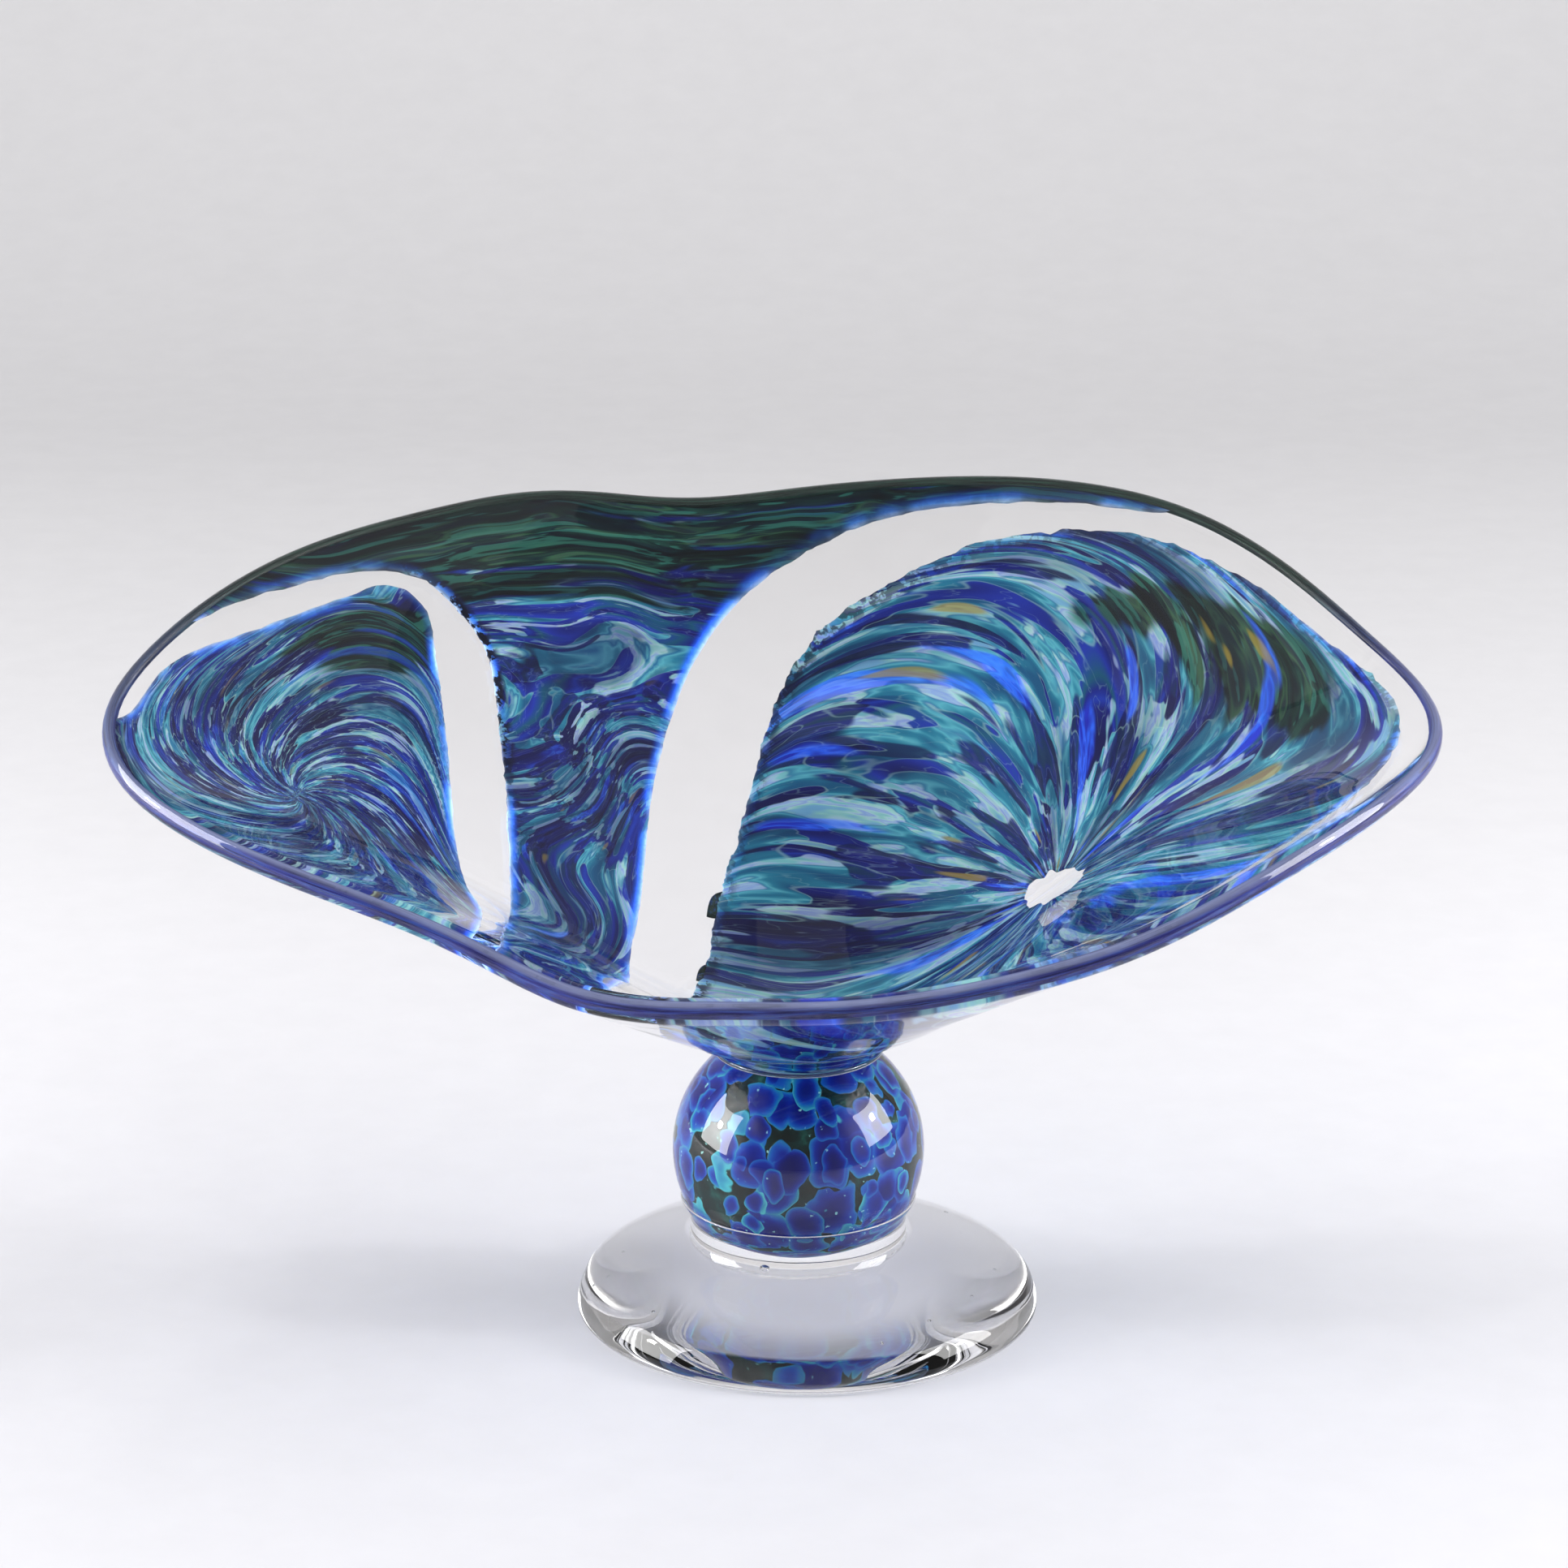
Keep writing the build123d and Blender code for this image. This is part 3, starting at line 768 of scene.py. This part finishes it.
def bowl_casing():
    """Closed skin: inside from the centre up, round the lip, outside down to the pad."""
    inner_rhos = np.r_[np.linspace(0.03, 0.9, 60), np.linspace(0.915, 1.0, 8)]
    outer_rhos = np.r_[np.linspace(1.0, 0.915, 8), np.linspace(0.9, 0.235, 48)]
    rings = wall_rings(inner_rhos, lambda rho: WALL)
    rings += [RIM_MID + RIM_NORMAL * WALL * math.cos(a) + RIM_UP * WALL * math.sin(a)
              for a in np.radians(np.arange(15, 180, 15))]
    rings += wall_rings(outer_rhos, underside_depth)
    pad_z = BOWL_Z - PAD_SINK
    for r, lift in ((20.5, 0.9), (PAD_R, 0.0)):
        rings.append(np.array([(r * math.cos(a), r * math.sin(a), pad_z + lift)
                               for a in TH]))
    verts = np.concatenate([[[0, 0, BOWL_Z + WALL]], *rings, [[0, 0, pad_z]]])
    faces = [(0, 1 + j, 1 + (j + 1) % SEG) for j in range(SEG)]
    for i in range(len(rings) - 1):
        faces += band_up(1 + i * SEG, 1 + (i + 1) * SEG, SEG)
    last = 1 + (len(rings) - 1) * SEG
    end = len(verts) - 1
    face_mats = [0] * len(faces) + [1] * SEG
    faces += [(end, last + (j + 1) % SEG, last + j) for j in range(SEG)]
    piece("bowl_clear_casing", verts, faces, [GLASS_BOWL, FUSED], "clear_glass",
          ("bowl_inner_casing", "bowl_outer_casing", "clear_band_left",
           "clear_band_right", "swirl_window"), face_mats=face_mats, shift_x=AXIS_X)


bowl_casing()

# --------------------------------------------------------------------------
# Bowl: streaked colour sheets, cut from one grid over the bowl
# --------------------------------------------------------------------------
GRID_TH, GRID_RHO = (g.ravel() for g in np.meshgrid(
    TH, np.r_[0.02, np.linspace(0.035, 1.0, SHEET_ROWS - 1)], indexing="xy"))
GRID = middle(GRID_TH, GRID_RHO)
PLAN = GRID[:, :2]
X, Y = PLAN.T.copy()


def unrolled():
    """Grid laid flat: distance along the wall from the bowl's centre, as x and y."""
    rows = GRID.reshape(SHEET_ROWS, SEG, 3)
    steps = np.linalg.norm(np.diff(rows, axis=0), axis=-1)
    first = np.linalg.norm(rows[:1, :, :2], axis=-1)
    out = np.concatenate([first, steps]).cumsum(0).ravel()
    return out * np.cos(GRID_TH), out * np.sin(GRID_TH)


FLAT_X, FLAT_Y = unrolled()


def inside_edge(edge, close, count=260):
    """Signed distance of the grid to an edge curve closed by outer corners."""
    return signed_distance(np.vstack([open_spline(edge, count), close]), PLAN)


def inside_window():
    a = np.linspace(0, 2 * np.pi, 90)[:-1]
    ragged = 1 + 0.10 * np.sin(9 * a + 1) + 0.07 * np.sin(14 * a + 2.5)
    long = WINDOW_HALF[0] * ragged * np.cos(a)
    short = WINDOW_HALF[1] * ragged * np.sin(a)
    cos, sin = math.cos(WINDOW_TURN), math.sin(WINDOW_TURN)
    outline = np.stack([WINDOW_AT[0] + long * cos - short * sin,
                        WINDOW_AT[1] + long * sin + short * cos], -1)
    return signed_distance(outline, PLAN)


IN_LEFT = inside_edge(LEFT_EDGE, LEFT_CLOSE)
PAST_LEFT = inside_edge(MIDDLE_LEFT_EDGE, MIDDLE_LEFT_CLOSE)
IN_RIGHT = inside_edge(RIGHT_EDGE, RIGHT_CLOSE, count=360)
PAST_RIGHT = inside_edge(MIDDLE_RIGHT_EDGE, MIDDLE_RIGHT_CLOSE)
IN_WINDOW = inside_window()

# Each sheet is where its field is above 0; jag roughens the edges
JAG = 0.30 * wobble(X, Y, size=7.0, seed=3) + 0.22 * wobble(X, Y, size=3.2, seed=4)
LEFT_FIELD = IN_LEFT + 0.6 * JAG
MIDDLE_FIELD = np.minimum(-PAST_LEFT + 0.9 * JAG, -PAST_RIGHT + 0.35 * JAG)
RIGHT_FIELD = np.minimum(IN_RIGHT + 1.2 * JAG, -IN_WINDOW)

# Weights of the back (+Y) side: all of it, its upper wall and its rim
BACK = ease(np.sin(GRID_TH), -0.05, 0.45)
UPPER_BACK = ease(GRID_RHO, 0.42, 0.84) * BACK
RIM_BAND = ease(GRID_RHO, 0.80, 0.94) * BACK
RIM_EDGE = ease(GRID_RHO, 0.84, 0.98) * BACK


def around_pole(x, y):
    """Unrolled polar coordinates round the grid point nearest to (x, y)."""
    nearest = int(np.argmin((X - x) ** 2 + (Y - y) ** 2))
    dx, dy = FLAT_X - FLAT_X[nearest], FLAT_Y - FLAT_Y[nearest]
    return np.hypot(dx, dy), np.arctan2(dy, dx)


def crowding(r, phi, field, default):
    """0 at the pole, growing toward the sheet's edge. The edge's distance is found
    by sector and averaged; default serves sectors without any sheet."""
    sectors = 72
    bins = np.linspace(-np.pi, np.pi, sectors + 1)
    which = np.clip(np.digitize(phi, bins) - 1, 0, sectors - 1)
    reach = np.zeros(sectors)
    for i in range(sectors):
        hit = (which == i) & (field > 0)
        reach[i] = r[hit].max() if hit.any() else default
    reach = np.array([np.mean(np.take(reach, range(i - 3, i + 4), mode="wrap"))
                      for i in range(sectors)])
    edge_r = np.interp(phi, (bins[1:] + bins[:-1]) / 2, reach, period=2 * np.pi)
    return -np.log(1 - (0.93 * np.minimum(r / edge_r, 1.0)) ** 2)


def streaks(r, phi, bend, slide, across, along):
    """Streak coordinates: bend turns them round the pole, slide runs along them;
    across and along set how fast the pattern changes."""
    angle = phi - bend
    return np.stack([np.cos(angle) * across, np.sin(angle) * across,
                     (np.log1p(r / 16.0) + slide) * along], -1)


def right_flow():
    """Straight at the pole, then combed over to run along the band."""
    r, phi = around_pole(*WINDOW_AT)
    comb = 0.52 * crowding(r, phi, RIGHT_FIELD, default=60.0)
    upper = ease(phi, -0.9, 0.9) * ease(phi, 3.3, 2.0)
    bend = comb * (0.10 + 0.90 * upper) + 0.25 * (1 - np.exp(-r / 50.0)) * upper
    return streaks(r, phi, bend, slide=0.9 * bend, across=3.0, along=0.50)


def left_flow():
    """A tight spiral the other way, running round into rings."""
    r, phi = around_pole(*LEFT_POLE)
    comb = 0.62 * crowding(r, phi, LEFT_FIELD, default=30.0)
    upper = ease(phi, -1.1, 0.5) + ease(phi, -2.0, -3.1)
    bend = -1.7 * (1 - np.exp(-r / 26.0)) - comb * np.clip(0.25 + 0.75 * upper, 0, 1)
    return streaks(r, phi, bend, slide=-0.7 * bend, across=2.2, along=0.42) + (20, 0, 0)


def middle_flow():
    """Along the clear bands low down, round the rim high on the back wall. Each
    divisor is the distance over which the pattern changes."""
    wave = wobble(FLAT_X, FLAT_Y, size=60, seed=11) * 6
    low = columns((-PAST_RIGHT + wave) / 13.0, (-PAST_LEFT + wave) / 60.0,
                  FLAT_Y / 190.0)
    far_out = ease(GRID_RHO, 0.76, 0.92)
    high = columns((1 - GRID_RHO) * 13.0 + wave / 50.0 * (1 - 0.6 * far_out),
                   FLAT_X / (105.0 + 170.0 * far_out),
                   FLAT_Y / (180.0 + 200.0 * far_out))
    curl = columns(wobble(FLAT_X, FLAT_Y, size=46, seed=41)
                   + 0.3 * wobble(FLAT_X, FLAT_Y, size=22, seed=43),
                   wobble(FLAT_X, FLAT_Y, size=50, seed=42), 0.0)
    low = low + 0.24 * curl
    high = high + 0.06 * curl
    share = UPPER_BACK[:, None]
    return low * (1 - share) + (high + (1.0, 0, 0)) * share + (50, 7, 3)


def left_look():
    """Tone (green, pale, threads) and fringe (azure, crumbs, sparks)."""
    spot = hump(Y - 43 - 0.35 * (X + 104), 8) * hump(X + 108, 21)
    green = np.clip(spot + 0.25 * RIM_EDGE, 0, 1)
    azure = 0.55 + 0.45 * ease(X, -110, -92)
    return columns(green, -0.45, 0.8), columns(azure, 0.15, 0.35)


def middle_look():
    green = np.clip(0.22 * UPPER_BACK + (0.42 + 0.25 * ease(X, 20, -110)) * RIM_BAND,
                    0, 1)
    by_right, by_left = ease(PAST_RIGHT, -9, -2), ease(PAST_LEFT, -9, -2)
    azure = (0.95 * by_right + 0.8 * by_left) * (1 - 0.55 * RIM_BAND)
    crumbs = 0.12 + 0.88 * by_left * ease(Y, 12, 34) * ease(X, -112, -88)
    return columns(green, -0.35, 0.1), columns(azure, crumbs, 0.5 * (1 - UPPER_BACK))


def right_look():
    dx, dy = X - WINDOW_AT[0], Y - WINDOW_AT[1]
    r, phi = np.hypot(dx, dy), np.arctan2(dy, dx)
    # two green crescents round the window
    wide = hump(r - 62 + 6 * (phi - 0.5), 13) * hump(phi - 0.48, 0.42)
    narrow = hump(r - 64, 8) * hump(phi - 1.22, 0.45)
    green = np.clip(wide + 0.80 * narrow, 0, 1)
    azure = 0.30 * ease(Y, 10, -30) + 0.15 + 0.25 * ease(X, 110, 135)
    crumbs = (0.40 + 0.6 * ease(Y, 32, -8) * ease(X, 10, -20)
              + 0.35 * ease(Y, 40, 70) * ease(X, 60, 0))
    return columns(green, 0.55, 0.2), columns(azure, crumbs, 0.8)


def colour_sheet(name, field, edge, flow, look, mat, replaced):
    """Thin closed sheet over the part of the grid where field is above 0."""
    index = np.arange(SHEET_ROWS * SEG).reshape(SHEET_ROWS, SEG)
    tris = []
    for i in range(SHEET_ROWS - 1):
        for j in range(SEG):
            k = (j + 1) % SEG
            quad = (index[i, j], index[i + 1, j], index[i + 1, k], index[i, k])
            if max(field[corner] for corner in quad) > 0:
                tris.append(quad[:3])
                tris.append((quad[0], *quad[2:]))
    faces, table = clip(tris, field)
    first = np.array([entry[0] for entry in table])
    second = np.array([entry[1] for entry in table])
    weight = np.array([entry[2] for entry in table])

    def between(values):
        w = weight if values.ndim == 1 else weight[:, None]
        return values[first] * (1 - w) + values[second] * w

    turn = GRID_TH[second] - GRID_TH[first]
    turn = (turn + np.pi) % (2 * np.pi) - np.pi
    theta = GRID_TH[first] + turn * weight
    rho = between(GRID_RHO)
    n = len(table)
    verts = np.vstack([sheet(theta, rho, np.full(n, SHEET_IN)),
                       sheet(theta, rho, np.full(n, SHEET_OUT))])
    source = np.r_[0:n, 0:n]          # the attribute row of each vertex
    skin = [tuple(f) for f in faces] + [tuple(i + n for i in f[::-1]) for f in faces]
    open_edges = boundary(faces)
    if field[:SEG].min() > 0:
        # the sheet covers the bowl's centre: close the hole in the grid with fans
        hub = 2 * n
        verts = np.vstack([verts, [[0, 0, BOWL_Z + SHEET_IN], [0, 0, BOWL_Z + SHEET_OUT]]])
        kept = first == second
        in_hole = kept & (first < SEG)
        hole = [(a, b) for a, b in open_edges if in_hole[a] and in_hole[b]]
        skin += [(b, a, hub) for a, b in hole]
        skin += [(a + n, b + n, hub + 1) for a, b in hole]
        source = np.r_[source, [hole[0][0]] * 2]
        hole = set(hole)
        open_edges = [e for e in open_edges if e not in hole]
    skin += [(b, a, a + n, b + n) for a, b in open_edges]
    tone, fringe = look
    attrs = {key: between(values)[source] for key, values in
             (("flow", flow), ("tone", tone), ("fringe", fringe), ("edge", edge))}
    piece(name, verts, skin, [mat], "streaked_glass", (replaced,), attrs=attrs,
          shift_x=AXIS_X)


STREAK = streaked_glass("streaked_glass_lobes")
STREAK_FINE = streaked_glass("streaked_glass_fine", scale=1.35)
colour_sheet("streaked_sheet_left", LEFT_FIELD, IN_LEFT, left_flow(), left_look(),
             STREAK_FINE, "color_panel_left")
colour_sheet("streaked_sheet_middle", MIDDLE_FIELD, np.minimum(-PAST_LEFT, -PAST_RIGHT),
             middle_flow(), middle_look(), STREAK_FINE, "color_panel_middle")
colour_sheet("streaked_sheet_right", RIGHT_FIELD, np.minimum(IN_RIGHT, -IN_WINDOW + 1.5),
             right_flow(), right_look(), STREAK, "color_panel_right")


def lip_edge():
    """Edge of the colour layer inside the lip: an oval tube along the rim, thinner
    at the back."""
    far = ease(np.sin(TH), -0.25, 0.35)
    centre, half_height, half_width = 1.35 - 0.20 * far, 1.5 + 0.15 * far, 1.80 - 0.70 * far
    light_way = np.array([0.0, -0.30, 0.95])     # faces turned this way get a painted highlight
    count = 16
    verts, tone, flow, pale = [], [], [], []
    for a in np.linspace(0, 2 * np.pi, count + 1)[:-1]:
        cos, sin = math.cos(a), math.sin(a)
        verts.append(RIM_MID + RIM_UP * (centre + half_height * cos)[:, None]
                     + RIM_NORMAL * (half_width * sin)[:, None])
        tone.append(far * ease(np.abs(TH - np.pi), 3.1, 2.7))
        flow.append(columns(1.1 * cos + 0.8 * math.sin(2 * a),
                            np.cos(TH) * 3.2, np.sin(TH) * 3.2))
        # painted highlight on the faces turned toward the light, at the front only
        facing = (RIM_UP * cos + RIM_NORMAL * sin) @ light_way
        pale.append(ease(facing, 0.62, 0.96) * (1 - far))
    faces = []
    for i in range(count):
        faces += band_around(i * SEG, (i + 1) % count * SEG, SEG)
    attrs = {"flow": np.concatenate(flow), "tone": np.concatenate(tone),
             "pale": np.concatenate(pale)}
    piece("streaked_edge_in_lip", np.concatenate(verts), faces,
          [edge_glass("streaked_glass_edge")], "streaked_glass", attrs=attrs,
          shift_x=AXIS_X)


def metal_flakes():
    """Thin creased plates in the wall, each of nested loops round a centre point."""
    count = 24                        # points in a loop
    size = 3 * count + 1              # points on one face of a plate
    verts, faces = [], []
    for number, flake in enumerate(FLAKES):
        corners = np.array(flake)
        centre = corners.mean(0)
        outline = open_spline(np.vstack([corners, corners[:1]]), count + 1)[:-1]
        points = np.vstack([centre + (outline - centre) * s for s in (1.0, 0.7, 0.35)]
                           + [centre[None]])
        x, y = points.T
        angle = np.arctan2(y, x)
        r = np.hypot(x, y)
        rho = r / (MEAN_R + (rim(angle)[0] - MEAN_R)
                   * (1 - np.exp(-((r / MEAN_R) / SPREAD) ** 2)))
        crease = 0.10 * wobble(x, y, size=3.0, seed=20 + number)
        top = len(verts)
        for depth, order in ((0.55, 1), (0.05, -1)):
            start = len(verts)
            verts += list(sheet(angle, rho, depth + crease))
            side = []
            for ring in (start, start + count):
                side += band_around(ring, ring + count, count)
            side += fan(start + 2 * count, start + 3 * count, count)
            faces += [f[::order] for f in side]
        faces += band_up(top, top + size, count)
    piece("metal_flake_leaf", verts, faces, [flake_metal("metal_flake")], "flake",
          ("metal_flakes",), shift_x=AXIS_X)


lip_edge()
metal_flakes()


# --------------------------------------------------------------------------
# Pad, knop, foot
# --------------------------------------------------------------------------
def knop_angle(z):
    return math.asin((z - KNOP_Z) / KNOP_R)


# Part of the ball that sits in the foot
SEAT = arc(KNOP_R, KNOP_Z, knop_angle(KNOP_FLAT), knop_angle(FOOT_TOP), 20)


def bowl_pad():
    """Short disc with a rounded side between the knop and the bowl."""
    top = BOWL_Z - PAD_SINK
    knop_top_r = math.sqrt(KNOP_R ** 2 - (KNOP_TOP - KNOP_Z) ** 2)
    side = open_spline([(20.7, KNOP_TOP), (21.4, KNOP_TOP + 0.25),
                        (21.6, (top + KNOP_TOP) / 2), (21.4, top - 0.25), (20.7, top)], 14)
    profile = [(0, KNOP_TOP), (knop_top_r, KNOP_TOP), *side, (PAD_R, top), (0, top)]
    verts, faces, steps = revolve(profile, ROUND)
    face_mats = [1 if i in (0, len(profile) - 2) else 0 for i in steps]
    piece("bowl_pad_ring", verts, faces, [GLASS_KNOP, FUSED], "clear_glass",
          ("bowl_pad",), face_mats=face_mats, shift_x=AXIS_X)


def knop_casing():
    bare = arc(KNOP_R, KNOP_Z, knop_angle(FOOT_TOP), knop_angle(KNOP_TOP), 60)
    profile = [(0, KNOP_FLAT), *SEAT, *bare[1:], (0, KNOP_TOP)]
    verts, faces, steps = revolve(profile, ROUND)
    face_mats = [1 if i < len(SEAT) or i == len(profile) - 2 else 0 for i in steps]
    piece("knop_clear_casing", verts, faces, [GLASS_KNOP, FUSED], "clear_glass",
          ("knop_casing",), face_mats=face_mats, shift_x=AXIS_X)


def knop_colour():
    """Slightly uneven coloured ball inside the knop."""
    verts, faces, _ = revolve(ball_profile(CHIP_R, KNOP_Z, 72), 144)
    centre = (0, 0, KNOP_Z)
    out = verts - centre
    x, y, z = out.T
    uneven = 0.004                    # share of the radius
    size = 1 - uneven + uneven * wobble(x + z * 0.7, y - z * 0.6, size=9.0, seed=31)
    piece("knop_colour_chips", centre + out * size[:, None], faces,
          [chip_glass("knop_chips")], "chip_glass", ("knop_chip_layer", "knop_core"),
          shift_x=AXIS_X)


def foot_disc():
    """Disc whose collar leans over to the knop's axis, with air bubbles inside."""
    rim_r = SEAT[-1][0]
    side = open_spline(FOOT_SIDE + [(rim_r + 0.25, FOOT_TOP + 0.05), SEAT[-1]], 150)
    profile = [(r, 0) for r in FOOT_RINGS] + [*side, *SEAT[-2::-1], (0, KNOP_FLAT)]
    verts, faces, steps = revolve(profile, ROUND)
    first_seat = len(FOOT_RINGS) + len(side) - 1
    lean = AXIS_X * ease(verts[:, 2], 6.0, 19.0)
    lean[1 + first_seat * ROUND:] = AXIS_X
    verts[:, 0] += lean
    face_mats = [1 if i >= first_seat else 2 if i < len(FOOT_RINGS) else 0 for i in steps]
    for x, y, z, r in BUBBLES:
        bubble, bubble_faces, _ = revolve(ball_profile(r, 0, 13), 20)
        start = len(verts)
        verts = np.vstack([verts, bubble * (1.0, 1.0, 0.9) + (x, y, z)])
        faces += [tuple(i + start for i in f[::-1]) for f in bubble_faces]
        face_mats += [0] * len(bubble_faces)
    piece("foot_clear_disc", verts, faces, [GLASS_FOOT, FUSED, BASE], "clear_glass",
          ("foot_disc",), face_mats=face_mats)


bowl_pad()
knop_casing()
knop_colour()
foot_disc()


# --------------------------------------------------------------------------
# Studio, in metres except for the sweep
# --------------------------------------------------------------------------
def studio_sweep():
    """Floor that curves up into a back wall, just below z = 0."""
    half_width, front, bend_y, bend_r, top, drop = 3500, -2500, 900, 900, 3200, 0.25
    profile = [(front, 0), (bend_y, 0)]
    profile += [(bend_y + bend_r * math.sin(t), bend_r - bend_r * math.cos(t))
                for t in np.linspace(0.1, math.pi / 2, 24)]
    profile.append((bend_y + bend_r, top))
    verts = [(x, y, z - drop) for x in (-half_width, half_width) for y, z in profile]
    n = len(profile)
    faces = [(i, i + n, i + n + 1, i + 1) for i in range(n - 1)]
    make("studio_sweep", verts, faces, [studio_paper("studio_paper")])


def area_light(name, place, target, size, power):
    light = bpy.data.lights.new(name, "AREA")
    light.energy = power
    light.shape = "RECTANGLE"
    light.size = light.size_y = size
    obj = bpy.data.objects.new(name, light)
    obj.location = place
    aim = Vector(target) - Vector(place)
    obj.rotation_euler = aim.to_track_quat("-Z", "Y").to_euler()
    bpy.context.scene.collection.objects.link(obj)


def lights():
    """A soft box with a small bright core on each side, and a wide top light."""
    knop = Vector((AXIS_X * MM, 0, KNOP_Z * MM))
    distance, core_gap = 1.2, 0.03
    for side, way, power in (("left", (-0.945, -0.097, 0.313), 16.8),
                             ("right", (0.904, -0.086, 0.419), 14.6)):
        way = Vector(way).normalized()
        area_light("soft_" + side, knop + way * distance, knop, size=0.74, power=power)
        area_light("core_" + side, knop + way * (distance - core_gap), knop,
                   size=0.10, power=3.0)
    area_light("soft_top", (0.0, 0.1, 1.7), (0, 0, 0), size=1.5, power=2.0)


def world():
    studio = bpy.data.worlds.new("studio")
    bpy.context.scene.world = studio
    studio.use_nodes = True
    background = studio.node_tree.nodes["Background"].inputs
    background["Color"].default_value = (0.97, 0.97, 0.975, 1)
    background["Strength"].default_value = 0.27


def camera():
    """In front of the bowl, looking down and a touch to the left."""
    data = bpy.data.cameras.new("camera")
    obj = bpy.data.objects.new("camera", data)
    bpy.context.scene.collection.objects.link(obj)
    obj.location = (AXIS_X * MM, -1.28389, 0.55825)
    down, left = math.radians(18.05), math.radians(0.163)
    forward = Vector((-math.sin(left) * math.cos(down), math.cos(left) * math.cos(down),
                      -math.sin(down)))
    obj.rotation_euler = forward.to_track_quat("-Z", "Y").to_euler()
    data.sensor_width = 36.0
    data.lens = 124.6
    data.clip_start = 0.05
    bpy.context.scene.camera = obj


def render_settings():
    scene = bpy.context.scene
    scene.view_settings.view_transform = "Standard"
    scene.view_settings.look = "None"
    cycles = scene.cycles
    cycles.max_bounces = 16
    cycles.transmission_bounces = 14
    cycles.transparent_max_bounces = 24
    cycles.diffuse_bounces = 4
    cycles.glossy_bounces = 6
    cycles.caustics_refractive = True
    cycles.caustics_reflective = False
    cycles.sample_clamp_indirect = 4.0
    cycles.blur_glossy = 0.5
    cycles.use_denoising = True


studio_sweep()
lights()
world()
camera()
render_settings()
